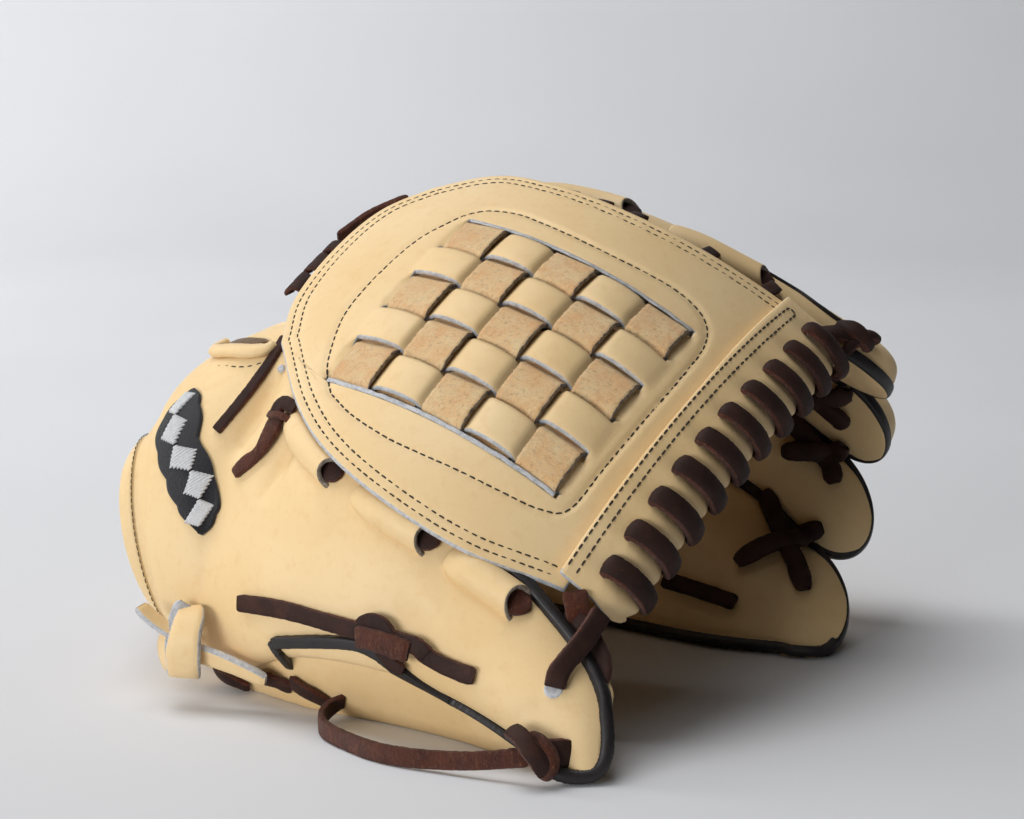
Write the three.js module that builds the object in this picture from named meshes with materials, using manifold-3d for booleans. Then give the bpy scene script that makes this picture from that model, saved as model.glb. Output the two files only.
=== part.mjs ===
// Fielder's glove for a pitcher, worn on the left hand, lying palm down on its thumb, heel and little finger.
// Millimetres. X from the wrist to the finger tips, Y from the thumb to the fingers, Z up, floor at 0.
import * as THREE from 'three';
import Module from 'manifold-3d';

const wasm = await Module();
wasm.setup();

// ---- driving sizes ----
const shellLeather = 2.6;     // thumb back and finger backs
const palmPad = 5;            // palm leather, padding and lining together
const palmHeel = 7;           // at the heel
const palmSeam = 3;           // at the finger seams
const palmFoot = 2.2;         // along the little finger's lower edge
const webLeather = 2;         // woven web panel
const laceWidth = 6.2;        // rawhide lace
const laceThick = 1.8;
const bindingWidth = 5;
const bindingThick = 1.2;
const clear = 0.4;            // gap between pieces that touch
const floorMiddle = [4.28, -46.21];   // middle of the glove's outline on the floor, before it is moved to the origin
const weave = { cells: 5, pitchA: 16.4, pitchB: 15, slit: 3, wave: 1.2, stripWidth: 14, stripThick: 1.6, tuck: 5 };
const web = {
  origin: [-0.3, -75, 113.5], bendA: 0.85, twist: 0.1, bendB: 0.5,
  along: [0.8351, -0.4226, -0.3521], across: [0.5499, 0.6455, 0.5299],
};

const slots = {
  cream_leather: { color: 0xeed09b, roughness: 0.55 },
  suede: { color: 0xd6a86e, roughness: 0.95 },
  dark_lace: { color: 0x32201e, roughness: 0.6 },
  black_binding: { color: 0x232023, roughness: 0.5 },
  cream_lace: { color: 0xecd3a6, roughness: 0.6 },
  patch_felt: { color: 0x17171a, roughness: 0.95 },
};

// ---- points and curves ----
const add = (a, b, k = 1) => [a[0] + b[0] * k, a[1] + b[1] * k, a[2] + b[2] * k];
const sub = (a, b) => [a[0] - b[0], a[1] - b[1], a[2] - b[2]];
const dot = (a, b) => a[0] * b[0] + a[1] * b[1] + a[2] * b[2];
const cross = (a, b) => [a[1] * b[2] - a[2] * b[1], a[2] * b[0] - a[0] * b[2], a[0] * b[1] - a[1] * b[0]];
const unit = (a) => { const n = Math.hypot(...a) || 1; return [a[0] / n, a[1] / n, a[2] / n]; };
const mix = (a, b, t) => a.map((v, i) => v + (b[i] - v) * t);

// Catmull-Rom curve through the points, whatever their number of coordinates
function curveAt(p, t) {
  const k = p.length - 1;
  const x = Math.min(Math.max(t, 0), 1) * k;
  const i = Math.min(Math.floor(x), k - 1);
  const w = x - i;
  const b = p[i], c = p[i + 1];
  const a = i > 0 ? p[i - 1] : b.map((v, q) => 2 * v - c[q]);
  const d = i + 2 <= k ? p[i + 2] : c.map((v, q) => 2 * v - b[q]);
  return b.map((v, q) => 0.5 * (2 * v + (c[q] - a[q]) * w + (2 * a[q] - 5 * v + 4 * c[q] - d[q]) * w * w
    + (3 * v - 3 * c[q] + d[q] - a[q]) * w * w * w));
}
const smooth = (p, n) => Array.from({ length: n }, (_, i) => curveAt(p, i / (n - 1)));

// grid[i][j] through a table of rows of points
function loft(rows, ni, nj) {
  const wide = rows.map((row) => smooth(row, nj));
  const grid = Array.from({ length: ni }, () => []);
  for (let j = 0; j < nj; j++) {
    smooth(wide.map((row) => row[j]), ni).forEach((p, i) => { grid[i][j] = p; });
  }
  return grid;
}

// one crowned profile from a to b: it leaves a along out, and b along outB, by the handles hA and hB
function crownPoint(a, b, out, outB, hA, hB, t) {
  const c1 = add(a, out, hA), c2 = add(b, outB, hB), u = 1 - t;
  return a.map((v, q) => v * u ** 3 + 3 * c1[q] * u * u * t + 3 * c2[q] * u * t * t + b[q] * t ** 3);
}

const table = (columns, rows) => rows.map((row) => Object.fromEntries(columns.split(' ').map((c, i) => [c, row[i]])));

// ---- solids ----
// A sheet of leather: points and quads of its outer face, thickness t behind it. Edges used once get a side wall.
function sheetMesh(points, quads, t, dirs) {
  const normals = points.map(() => [0, 0, 0]);
  for (const q of quads) {
    const n = cross(sub(points[q[2]], points[q[0]]), sub(points[q[3]], points[q[1]]));
    for (const v of q) normals[v] = add(normals[v], n);
  }
  const used = [...new Set(quads.flat())];
  const top = new Map(used.map((v, i) => [v, i]));
  const n = used.length;
  const back = used.map((v) => add(points[v], unit(dirs ? dirs[v] : normals[v]), -(Array.isArray(t) ? t[v] : t)));
  const positions = [...used.map((v) => points[v]), ...back].flat();
  const tris = [];
  const edges = new Map();
  for (const q of quads) {
    const f = q.map((v) => top.get(v));
    tris.push(f[0], f[1], f[2], f[0], f[2], f[3]);
    tris.push(f[0] + n, f[2] + n, f[1] + n, f[0] + n, f[3] + n, f[2] + n);
    for (let e = 0; e < 4; e++) {
      const a = f[e], b = f[(e + 1) % 4];
      if (edges.has(`${b}_${a}`)) edges.delete(`${b}_${a}`);
      else edges.set(`${a}_${b}`, [a, b]);
    }
  }
  for (const [a, b] of edges.values()) tris.push(a, a + n, b + n, a, b + n, b);
  const geometry = new THREE.BufferGeometry();
  geometry.setAttribute('position', new THREE.Float32BufferAttribute(positions, 3));
  geometry.setIndex(tris);
  return geometry;
}

// quads of a grid, kept where keep(i, j) holds; the outer face is the side that faces +(di x dj)
function gridQuads(ni, nj, keep = () => true, ring = false) {
  const quads = [];
  for (let i = 0; i < ni - 1; i++) {
    for (let j = 0; j < (ring ? nj : nj - 1); j++) {
      const k = (j + 1) % nj;
      if (keep(i, j)) quads.push([i * nj + j, (i + 1) * nj + j, (i + 1) * nj + k, i * nj + k]);
    }
  }
  return quads;
}

const group = new THREE.Group();
group.name = 'pitcher_glove';

function place(name, slot, geometry) {
  const look = slots[slot];
  const material = new THREE.MeshStandardMaterial({ color: look.color, roughness: look.roughness, metalness: 0 });
  material.name = slot;
  geometry.computeVertexNormals();
  const mesh = new THREE.Mesh(geometry, material);
  mesh.name = name;
  group.add(mesh);
}

// a grid of leather; flip when the outer face is the other side
function leather(name, slot, grid, t, flip = false, keep = undefined) {
  const nj = grid[0].length;
  let quads = gridQuads(grid.length, nj, keep);
  if (flip) quads = quads.map((q) => [...q].reverse());
  place(name, slot, sheetMesh(grid.flat(), quads, t));
}

function toManifold(geometry) {
  return new wasm.Manifold(new wasm.Mesh({
    numProp: 3,
    vertProperties: new Float32Array(geometry.getAttribute('position').array),
    triVerts: new Uint32Array(geometry.index.array),
  }));
}

function fromManifold(solid) {
  const mesh = solid.getMesh();
  const geometry = new THREE.BufferGeometry();
  geometry.setAttribute('position', new THREE.Float32BufferAttribute(Array.from(mesh.vertProperties), 3));
  geometry.setIndex(Array.from(mesh.triVerts));
  return geometry;
}

// a flat lace along path; face is the direction its flat side looks to at each point, and sides, where given, that of its width
function laceGeometry(path, face, n, width = laceWidth, t = laceThick, sides = undefined) {
  const pts = smooth(path, n);
  const dirs = smooth(face, n);
  const grid = pts.map((p, i) => {
    const step = sub(pts[Math.min(i + 1, n - 1)], pts[Math.max(i - 1, 0)]);
    const side = sides ? sides[i] : unit(cross(unit(step), unit(dirs[i])));
    const up = sides ? unit(dirs[i]) : unit(cross(side, unit(step)));
    const mid = add(p, up, t);
    return [add(mid, side, width / 2), add(mid, side, -width / 2), up];
  });
  const points = grid.flatMap((g) => [g[0], g[1]]);
  const up = grid.flatMap((g) => [g[2], g[2]]);
  return sheetMesh(points, gridQuads(n, 2), t, up);
}
const lace = (name, slot, path, face, n, width, t) => place(name, slot, laceGeometry(path, face, n, width, t));

// ---- the web: a doubly curved panel, a along the glove, b from thumb to index finger ----
const webUp = unit(cross(web.along, web.across));
const onWeb = (a, b, lift = 0) => {
  const sag = (web.bendA * a * a + web.twist * a * b + web.bendB * b * b) / 200;
  return add(add(add(web.origin, web.along, a), web.across, b), webUp, lift - sag);
};

// panel outline in (a, b), one list per side, corners shared
const webSides = {
  thumb: [[-66, -27], [-44, -48], [-23, -60], [3, -66], [29, -66], [56, -58]],
  top: [[56, -58], [58.5, -20], [58.5, 20], [55, 78]],
  index: [[55, 78], [29, 74], [1, 71], [-28, 70], [-49, 68], [-66, 55]],
  crotch: [[-66, 55], [-76, 40], [-78, 18], [-75, -8], [-66, -27]],
};

const halfA = weave.cells * weave.pitchA / 2;
const strapHalf = (weave.pitchB - weave.slit) / 2;
const cellA = (j) => (j - (weave.cells - 1) / 2) * weave.pitchA;
const cellB = (i) => (i - (weave.cells - 1) / 2) * weave.pitchB;
const overCell = (i, j) => (i + j) % 2 === 1;   // the smooth strap lies over the strip
const edgeA = weave.stripWidth / 2 + 0.2;

const linesA = [{ a: -halfA - 2.5 }];
for (let j = 0; j < weave.cells; j++) for (const s of [-1, 0, 1]) linesA.push({ a: cellA(j) + s * edgeA, j, mid: s === 0 });
linesA.push({ a: halfA + 2.5 });
const rimB = cellB(weave.cells - 1) + strapHalf + weave.slit;
const linesB = [{ b: -rimB }];
for (let i = 0; i < weave.cells; i++) for (const s of [-1, 0, 1]) linesB.push({ b: cellB(i) + s * strapHalf, i });
linesB.push({ b: rimB });

function strapLift(la, lb) {
  if (la.j === undefined || lb.i === undefined) return 0;
  return overCell(lb.i, la.j) ? weave.wave + (la.mid ? 0.4 : 0) : -weave.wave;
}

function webPanel() {
  const na = linesA.length, nb = linesB.length;
  const points = linesA.flatMap((la) => linesB.map((lb) => onWeb(la.a, lb.b, strapLift(la, lb))));
  const slit = (i, j) => j % 3 === 0 && i > 0 && i < na - 2;
  const quads = gridQuads(na, nb, (i, j) => !slit(i, j));
  // the plain border: rings from the woven block out to the outline
  const loop = [];
  const sides = [
    [webSides.thumb, na - 1, (m) => [m, 0]], [webSides.top, nb - 1, (m) => [na - 1, m]],
    [webSides.index, na - 1, (m) => [na - 1 - m, nb - 1]], [webSides.crotch, nb - 1, (m) => [0, nb - 1 - m]],
  ];
  for (const [side, n, at] of sides) {
    for (let m = 0; m < n; m++) {
      const [i, j] = at(m);
      loop.push({ inner: [linesA[i].a, linesB[j].b], index: i * nb + j, outer: curveAt(side, m / n) });
    }
  }
  const ringAt = [0.45, 1];
  let last = loop.map((v) => v.index);
  for (const f of ringAt) {
    const next = loop.map((v) => points.push(onWeb(...mix(v.inner, v.outer, f))) - 1);
    loop.forEach((_, m) => {
      const k = (m + 1) % loop.length;
      quads.push([last[m], next[m], next[k], last[k]]);
    });
    last = next;
  }
  place('web_panel', 'cream_leather', sheetMesh(points, quads, webLeather, points.map(() => webUp)));
}

function weaveStrip(j) {
  const under = -(webLeather + clear);
  const bs = [{ b: -rimB - weave.tuck }, { b: -rimB }, ...linesB.filter((l) => l.i !== undefined), { b: rimB }, { b: rimB + weave.tuck }];
  const lift = (l) => {
    if (l.i === undefined) return under;
    return overCell(l.i, j) ? weave.wave - webLeather - clear : -weave.wave + clear + weave.stripThick;
  };
  const grid = [-1, 1].map((s) => bs.map((l) => onWeb(cellA(j) + s * weave.stripWidth / 2, l.b, lift(l))));
  place(`weave_strip_${j + 1}`, 'suede',
    sheetMesh(grid.flat(), gridQuads(2, bs.length), weave.stripThick, grid.flat().map(() => webUp)));
}

webPanel();
for (let j = 0; j < weave.cells; j++) weaveStrip(j);

// ---- thumb back: one leather from the tip over the wrist to the far side ----
// a is the lower seam edge, b the edge under the web, hA and hB the crown of each; slide turns the crown at b
// from straight out to along the web, and push moves the middle toward the wrist
const thumbRows = table('a b hA hB slide push', [
  [[-104, -46, 15], [-114, -28, 70], 28, 26, 0, 7],
  [[-97, -55, 9], [-101, -20, 84], 33, 30, 0, 4],
  [[-89, -64, 7], [-89, -22, 98], 36, 32, 0, 1],
  [[-80, -75, 8], onWeb(-67, -10, -6), 34, 26, 0.3, 0],
  [[-68, -94, 19], onWeb(-52, -38, -5), 22, 20, 1, 0],
  [[-40, -109, 21], onWeb(-24, -53, -5), 18, 22, 1, 0],
  [[-12, -128, 15], onWeb(4, -58, -5), 14, 20, 1, 0],
  [[8, -146, 6], onWeb(29, -58, -5), 10, 18, 1, 0],
  [[19, -154, 3], [22, -134, 30], 8, 6, 0, 0],
  [[24, -152, 8], [27, -144, 18], 3, 3, 0, 0],
]);
const thumbNi = 28, thumbNj = 9;
const underWeb = unit(add(web.across.map((v) => -v), webUp, -0.4));
function thumbBack() {
  const rows = smooth(thumbRows.map((r) => [...r.a, ...r.b, r.hA, r.hB, r.slide, r.push]), thumbNi);
  const mid = rows.map((r) => mix(r.slice(0, 3), r.slice(3, 6), 0.5));
  return rows.map((r, i) => {
    const a = r.slice(0, 3), b = r.slice(3, 6), [hA, hB, slide, push] = r.slice(6);
    const step = unit(sub(mid[Math.min(i + 1, thumbNi - 1)], mid[Math.max(i - 1, 0)]));
    const out = unit(cross(step, unit(sub(b, a))));
    const outB = unit(mix(out, underWeb, slide));
    return Array.from({ length: thumbNj }, (_, j) => {
      const t = j / (thumbNj - 1);
      return add(crownPoint(a, b, out, outB, hA, hB, t), [-1, 0, 0], push * 4 * t * (1 - t));
    });
  });
}
const thumbGrid = thumbBack();

// the wrist strap: goes on from the b edge over the back of the wrist to the little finger side
const strapRows = table('over far side end', [
  [[-114, 2, 70], [-111, 38, 58], [-109, 56, 36], [-106, 57, 8]],
  [[-104, 5, 82], [-102, 42, 66], [-100, 61, 38], [-97, 61, 7]],
  [[-95, 6, 91], [-92, 45, 73], [-90, 64, 38], [-88, 63, 6]],
]);
const strapNi = 6;   // rows 0..5 of the thumb grid carry the strap
function strapGrid(nj) {
  const rows = smooth(strapRows.map((r) => [...r.over, ...r.far, ...r.side, ...r.end]), strapNi);
  return rows.map((r, i) => {
    const edge = thumbGrid[i][thumbNj - 1], before = thumbGrid[i][thumbNj - 3];
    const path = [before, edge, r.slice(0, 3), r.slice(3, 6), r.slice(6, 9), r.slice(9, 12)];
    return Array.from({ length: nj }, (_, j) => curveAt(path, (1 + 4 * j / (nj - 1)) / 5));
  });
}

// several grids welded into one skin
function weld(parts) {
  const points = [], quads = [], depths = [], seen = new Map();
  for (const { grid, keep, flip, depth } of parts) {
    const nj = grid[0].length;
    const ids = grid.flat().map((p, v) => {
      const key = p.map((v) => Math.round(v * 1000)).join();
      if (!seen.has(key)) {
        seen.set(key, points.push(p) - 1);
        depths.push(depth ? depth(Math.floor(v / nj), v % nj) : shellLeather);
      }
      return seen.get(key);
    });
    for (const q of gridQuads(grid.length, nj, keep)) {
      const v = q.map((k) => ids[k]);
      quads.push(flip ? v.reverse() : v);
    }
  }
  return { points, quads, depths };
}

const strapPart = strapGrid(11);
strapPart.forEach((row, i) => { row[0] = thumbGrid[i][thumbNj - 1]; });
const thumbSkin = weld([{ grid: thumbGrid }, { grid: strapPart }]);
place('thumb_back', 'cream_leather', sheetMesh(thumbSkin.points, thumbSkin.quads, thumbSkin.depths));

// ---- palm: thumb limb and finger limb, meeting at column k ----
// visible pocket side; s seam, t underside, m inner wall, k meets the finger limb
const thumbPalmRows = table('s t m k', [
  [[-102, -42, 11], [-99, -33, 5], [-99, -22, 9], [-102, -12, 20]],
  [[-93, -53, 7], [-87, -46, -1], [-84, -34, 12], [-84, -22, 38]],
  [[-80, -66, 6], [-72, -62, -2], [-66, -50, 18], [-68, -36, 62]],
  [[-64, -90, 15], [-56, -80, -2], [-52, -62, 24], [-64, -44, 96]],
  [[-38, -105, 17], [-36, -94, -2], [-34, -78, 24], onWeb(-24, -44, -10)],
  [[-12, -123, 11], [-12, -113, -1], [-10, -98, 18], onWeb(4, -48, -10)],
  [[7, -140, 3], [7, -132, -2], [8, -118, 12], onWeb(28, -48, -10)],
  [[17, -149, 1], [16, -143, -2], [17, -132, 9], [19, -127, 24]],
  [[22, -148, 6], [22, -145, 5], [23, -140, 9], [24, -138, 14]],
]);
const fingerRows = table('k a b c d e', [
  [[-102, -12, 20], [-103, 4, 24], [-103, 14, 24], [-103, 26, 21], [-102, 38, 17], [-100, 47, 6]],
  [[-84, -22, 38], [-84, -4, 48], [-84, 12, 48], [-84, 28, 41], [-84, 42, 28], [-84, 51, 4]],
  [[-68, -36, 62], [-64, -10, 84], [-65, 14, 78], [-66, 32, 62], [-68, 44, 40], [-68, 48, 3]],
  [[-64, -44, 96], [-42, 0, 126], [-44, 20, 108], [-50, 37, 82], [-58, 44, 48], [-54, 44, 3]],
  [[-50, -30, 110], [-24, 2, 136], [-22, 24, 120], [-20, 40, 92], [-22, 44, 54], [-24, 37, 2.8]],
  [[-40, -30, 110], [6, 2, 140], [8, 26, 124], [10, 40, 94], [10, 42, 56], [6, 24, 2.6]],
  [[-20, -40, 110], [39, -13, 131], [42, 16, 118], [46, 34, 90], [46, 32, 56], [35, 3, 2.6]],
  [[10, -50, 100], [70, -20, 115], [76, 10, 103], [82, 28, 77], [78, 24, 45], [63, -18, 2.6]],
  [[40, -60, 90], [103, -20, 98], [110, 4, 83], [110, 20, 57], [97, 6, 30], [86, -28, 2.6]],
]);
const stations = 17;         // two per row of the palm tables
const crotchRow = 6;         // the limbs part here
const railNames = ['a', 'b', 'c', 'd', 'e'];
const rail = Object.fromEntries(['k', ...railNames].map((n) => [n, smooth(fingerRows.map((r) => r[n]), stations)]));
const tipReach = { index: 17, middle: 17, ring: 21, pinky: 21 };
const fingerNames = Object.keys(tipReach);
const palmSag = 3;           // finger palms bulge into the pocket
const rest = (p, least = 0) => [p[0], p[1], Math.max(p[2], least)];

// frame of finger f at station i: chord across, out away from the pocket, on toward the tip
function fingerFrame(f, i) {
  const A = rail[railNames[f]], B = rail[railNames[f + 1]];
  const back = Math.max(i - 1, 0), fore = Math.min(i + 1, stations - 1);
  const on = unit(sub(mix(A[fore], B[fore], 0.5), mix(A[back], B[back], 0.5)));
  const chord = sub(B[i], A[i]);
  return { A: A[i], B: B[i], chord, on, out: unit(cross(on, chord)) };
}
// tip of a finger past its last station: phi 0 at one seam, pi at the other
function tipPoint(f, phi, reach = 1) {
  const w = fingerFrame(f, stations - 1);
  const u = 0.5 - 0.5 * Math.cos(phi);
  return add(mix(w.A, w.B, u), w.on, tipReach[fingerNames[f]] * Math.max(Math.sin(phi), 0.08) * reach);
}

const across = [0, 0.12, 0.5, 0.88];   // columns of one finger's palm; the seams are its first and the next one's first
// grid column of a place across the fingers, counted in fingers from the web side
const palmColumn = (s) => {
  const f = Math.min(Math.floor(s), 3), u = s - f, marks = [...across, 1];
  const k = Math.max(marks.findLastIndex((m, q) => m <= u && q < marks.length - 1), 0);
  return 2 + across.length * f + k + (u - marks[k]) / (marks[k + 1] - marks[k]);
};
const tipRows = [0.35, 0.7, 1];
function palmGrid() {
  const grid = [];
  for (let i = 0; i < stations; i++) {
    const row = [rail.k[i], mix(rail.k[i], rail.a[i], 0.5)];
    for (let f = 0; f < 4; f++) {
      const w = fingerFrame(f, i);
      for (const u of across) row.push(add(mix(w.A, w.B, u), w.out, -palmSag * 4 * u * (1 - u)));
    }
    row.push(rail.e[i]);
    grid.push(row.map((p) => rest(p, palmFoot + 0.1)));
  }
  for (const r of tipRows) {
    const row = [rail.k[stations - 1], rail.a[stations - 1]];
    for (let f = 0; f < 4; f++) {
      const w = fingerFrame(f, stations - 1);
      for (const u of across) {
        const phi = Math.acos(1 - 2 * u);
        row.push(add(tipPoint(f, phi, r), w.out, -palmSag * 4 * u * (1 - u) * (1 - r * r * 0.8)));
      }
      if (f === 3) row.push(tipPoint(f, Math.PI, r));
    }
    grid.push(row.map((p) => rest(p, palmFoot + 0.1)));
  }
  return grid;
}
const fingerPalm = palmGrid();
const thumbPalm = loft(thumbPalmRows.map((r) => [r.s, r.t, r.m, r.k]), stations, 8).map((row) => row.map((p) => rest(p)));
thumbPalm.forEach((row, i) => { if (i <= crotchRow) row[row.length - 1] = fingerPalm[i][0]; });
// thick at the heel, thin at the seams
const heelDepth = (i) => (i < 5 ? palmHeel : palmPad);
const palmSkin = weld([
  { grid: fingerPalm, flip: true, keep: (i, j) => j > 1 || i < crotchRow,
    depth: (i, j) => (i >= stations || (j > 1 && (j - 2) % across.length !== 2) || (i < 6 && j > palmColumn(2.9)) ? (j > palmColumn(3.9) ? palmFoot : palmSeam) : heelDepth(i)) },
  { grid: thumbPalm, flip: true, depth: (i, j) => (j === 0 || i > 13 ? palmSeam : heelDepth(i)) },
]);
place('palm', 'cream_leather', sheetMesh(palmSkin.points, palmSkin.quads, palmSkin.depths));

// ---- finger backs ----
// crown height at stations 6 (knuckle), 9, 12, 14, 16, then the tip rows
const crownRows = table('finger heel knuckle middle far end', [
  ['index', 8, 10, 11, 11, 10], ['middle', 10, 13, 15, 15, 13],
  ['ring', 10, 13, 15, 15, 13], ['pinky', 9, 16, 20, 18, 15],
]);
const seamInset = 2.2;       // from the seam line to the shell's outer face
const overPalm = palmSeam + clear + 0.1;
const backColumns = 6;
function fingerBack(f) {
  const row = crownRows[f];
  const first = row.finger === 'pinky' ? 0 : 7;
  const crowns = first === 0 ? [row.heel - 4, row.heel, row.knuckle, row.middle, row.far, row.end]
    : [row.heel, row.knuckle, row.middle, row.far, row.end];
  const rows = [];
  const nBody = stations - first;
  const heights = smooth(crowns.map((c) => [c]), nBody);
  for (let i = first; i < stations; i++) {
    const w = fingerFrame(f, i);
    const inset = seamInset / Math.hypot(...w.chord);
    const h = heights[i - first][0] * 4 / 3;
    const low = f === 3;     // the little finger's lower edge lies level behind the palm's
    const level = unit([w.out[0], w.out[1], 0]);
    rows.push({
      a: add(mix(w.A, w.B, inset), w.out, overPalm + (low ? 0.5 : 0)), hA: h, hB: h,
      b: low ? add(w.B, level, overPalm + 2.2) : add(mix(w.A, w.B, 1 - inset), w.out, overPalm),
    });
  }
  const w = fingerFrame(f, stations - 1);
  for (const [phi, part] of [[0.5, 0.93], [0.85, 0.8], [1.15, 0.6], [1.38, 0.35], [1.5, 0.12]]) {
    const level = f === 3 ? unit([w.out[0], w.out[1], 0]) : w.out;
    const a = add(tipPoint(f, phi), w.out, overPalm), b = add(tipPoint(f, Math.PI - phi), level, overPalm + (f === 3 ? 2.2 : 0));
    const inset = seamInset / Math.hypot(...w.chord) * Math.cos(phi);
    const h = row.end * 4 / 3 * part;
    rows.push({ a: mix(a, b, inset), b: mix(b, a, inset), hA: h, hB: h });
  }
  const grid = crownRun(rows, backColumns, w.out, nBody).map((r) => r.map((p) => rest(p)));
  leather(`${row.finger}_back`, 'cream_leather', grid, shellLeather);
  return grid;
}
// crowned profiles at the rows as they are; past row nBody the crown keeps the direction out
function crownRun(rows, nj, out, nBody) {
  return rows.map((r, i) => {
    const fore = rows[Math.min(i + 1, rows.length - 1)], back = rows[Math.max(i - 1, 0)];
    const step = sub(mix(fore.a, fore.b, 0.5), mix(back.a, back.b, 0.5));
    const dir = i < nBody ? unit(cross(unit(step), unit(sub(r.b, r.a)))) : out;
    return Array.from({ length: nj }, (_, j) => crownPoint(r.a, r.b, dir, dir, r.hA, r.hB, j / (nj - 1)));
  });
}
const backs = fingerNames.map((_, f) => fingerBack(f));


// ---- placing things on a grid: i and j are grid indices, whole or not; sign -1 is the pocket side ----
function cellPoint(grid, i, j) {
  const x = Math.min(Math.max(i, 0), grid.length - 1), y = Math.min(Math.max(j, 0), grid[0].length - 1);
  const i0 = Math.min(Math.floor(x), grid.length - 2), j0 = Math.min(Math.floor(y), grid[0].length - 2);
  return mix(mix(grid[i0][j0], grid[i0 + 1][j0], x - i0), mix(grid[i0][j0 + 1], grid[i0 + 1][j0 + 1], x - i0), y - j0);
}
function gridAt(grid, i, j, lift = 0, sign = 1) {
  const di = sub(cellPoint(grid, i + 0.5, j), cellPoint(grid, i - 0.5, j));
  const dj = sub(cellPoint(grid, i, j + 0.5), cellPoint(grid, i, j - 0.5));
  const up = unit(cross(di, dj)).map((v) => v * sign);
  return { p: add(cellPoint(grid, i, j), up, lift), up };
}
// rows are i, j, lift along a flat lace on the grid
function gridLace(grid, rows, n, width = laceWidth, t = laceThick, sign = 1) {
  const at = smooth(rows, n).map(([i, j, lift]) => gridAt(grid, i, j, lift, sign));
  return laceGeometry(at.map((v) => v.p), at.map((v) => v.up), n, width, t);
}
const joined = (name, slot, parts) => place(name, slot, fromManifold(parts.map(toManifold).reduce((a, b) => a.add(b))));

// a rolled knot: an oval drum about axis, flat toward up
function drum(center, axis, up, wide, tall, long, sides = 8) {
  const w = unit(axis), v = unit(sub(up, w.map((q) => q * dot(up, w)))), u = cross(v, w);
  const points = [], quads = [];
  for (const end of [-0.5, -0.42, 0.42, 0.5]) {
    const f = Math.abs(end) === 0.5 ? 0.8 : 1;
    for (let m = 0; m < sides; m++) {
      const q = 2 * Math.PI * m / sides;
      points.push(add(add(add(center, w, end * long), u, Math.cos(q) * f * wide / 2), v, Math.sin(q) * f * tall / 2));
    }
  }
  const tris = [];
  for (let r = 0; r < 3; r++) {
    for (let m = 0; m < sides; m++) {
      const k = (m + 1) % sides;
      quads.push([r * sides + m, r * sides + k, (r + 1) * sides + k, (r + 1) * sides + m]);
    }
  }
  for (const q of quads) tris.push(q[0], q[1], q[2], q[0], q[2], q[3]);
  for (let m = 1; m < sides - 1; m++) {
    tris.push(0, m + 1, m);
    tris.push(3 * sides, 3 * sides + m, 3 * sides + m + 1);
  }
  const geometry = new THREE.BufferGeometry();
  geometry.setAttribute('position', new THREE.Float32BufferAttribute(points.flat(), 3));
  geometry.setIndex(tris);
  return geometry;
}

// ---- black bindings round the finger tips and the thumb ----
const bindingFoot = bindingWidth / 2 + 0.3;   // lowest middle line, clear of the floor
function tipBinding(f) {
  const w = fingerFrame(f, stations - 1);
  const n = 9, from = 0.6, to = f === 3 ? 0.95 : from;
  const side = unit(w.chord), wide = Math.hypot(...w.chord) / 2;
  const path = [], face = [];
  for (let m = 0; m < n; m++) {
    const phi = from + (Math.PI - to - from) * m / (n - 1);
    const out = unit(add(side.map((v) => -v * Math.cos(phi) / wide), w.on, Math.sin(phi) / tipReach[fingerNames[f]]));
    face.push(out);
    path.push(rest(add(add(tipPoint(f, phi), w.out, palmSeam * 0.6), out, clear), bindingFoot));
  }
  lace(`${fingerNames[f]}_binding`, 'black_binding', path, face, n, bindingWidth, bindingThick);
}
for (let f = 0; f < 4; f++) tipBinding(f);

// edge walk round the thumb: up the seam edge, round the tip, back along the web edge; v is the grid place
function thumbEdge(rows, n, drop) {
  const at = smooth(rows, n).map(([i, j]) => {
    const { p, up } = gridAt(thumbGrid, i, j);
    const mid = gridAt(thumbGrid, i, thumbNj / 2).p;
    const tip = gridAt(thumbGrid, thumbNi - 1, thumbNj / 2).p;
    return { p, up, mid, tip };
  });
  const path = at.map(({ p, up }, m) => {
    const step = unit(sub(at[Math.min(m + 1, n - 1)].p, at[Math.max(m - 1, 0)].p));
    return rest(add(add(p, unit(cross(step, up)), drop), up, -bindingThick - 0.4), bindingFoot);
  });
  return { path, face: at.map((v) => v.up) };
}
const seamDrop = bindingWidth / 2 + 1;
const piping = thumbEdge([[12, 0], [15, 0], [18, 0], [19.6, 0], [20.4, 0]], 12, seamDrop);
lace('thumb_piping', 'black_binding', piping.path, piping.face, 12, bindingWidth, bindingThick);
const tip = thumbEdge([[25.6, 0], [26.8, 0.4], [27, 2], [27, 4], [27, 7.9], [25.8, 8], [24, 8], [22.2, 8]], 16, seamDrop);
lace('thumb_binding', 'black_binding', tip.path, tip.face, 16, bindingWidth, bindingThick);

// ---- top band of the web and the lace whipped over it ----
// b along the band, fold the outermost a, inner the stitched edge
const bandRows = table('b fold inner', [[-56, 73.5, 54], [-13, 73, 54], [20, 73, 54], [50, 73.5, 53], [79, 72.4, 52.2]]);
const bandAt = (b) => {
  const t = (b - bandRows[0].b) / (bandRows[bandRows.length - 1].b - bandRows[0].b);
  const bs = bandRows.map((r) => (r.b - bandRows[0].b) / (bandRows[bandRows.length - 1].b - bandRows[0].b));
  let k = 0;
  while (k < bs.length - 2 && t > bs[k + 1]) k++;
  const u = (k + (t - bs[k]) / (bs[k + 1] - bs[k])) / (bs.length - 1);
  const [fold, inner] = curveAt(bandRows.map((r) => [r.fold, r.inner]), u);
  return { fold, inner };
};
const bandLeather = 2, wraps = 10, wrapFrom = -46, wrapStep = 13.22;
const hole = { near: 7.7, far: 11.6, underNear: 8.6, underFar: 13, half: 3.7 };   // distances in from the fold, above and below, and half its length
const laceIn = 8.9;                                  // where the lace goes through them
const bandTop = 2.9, bandUnder = -10.2;              // lifts of the rolled edge's two faces
const wrapB = (w) => wrapFrom + wrapStep * w;
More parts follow.
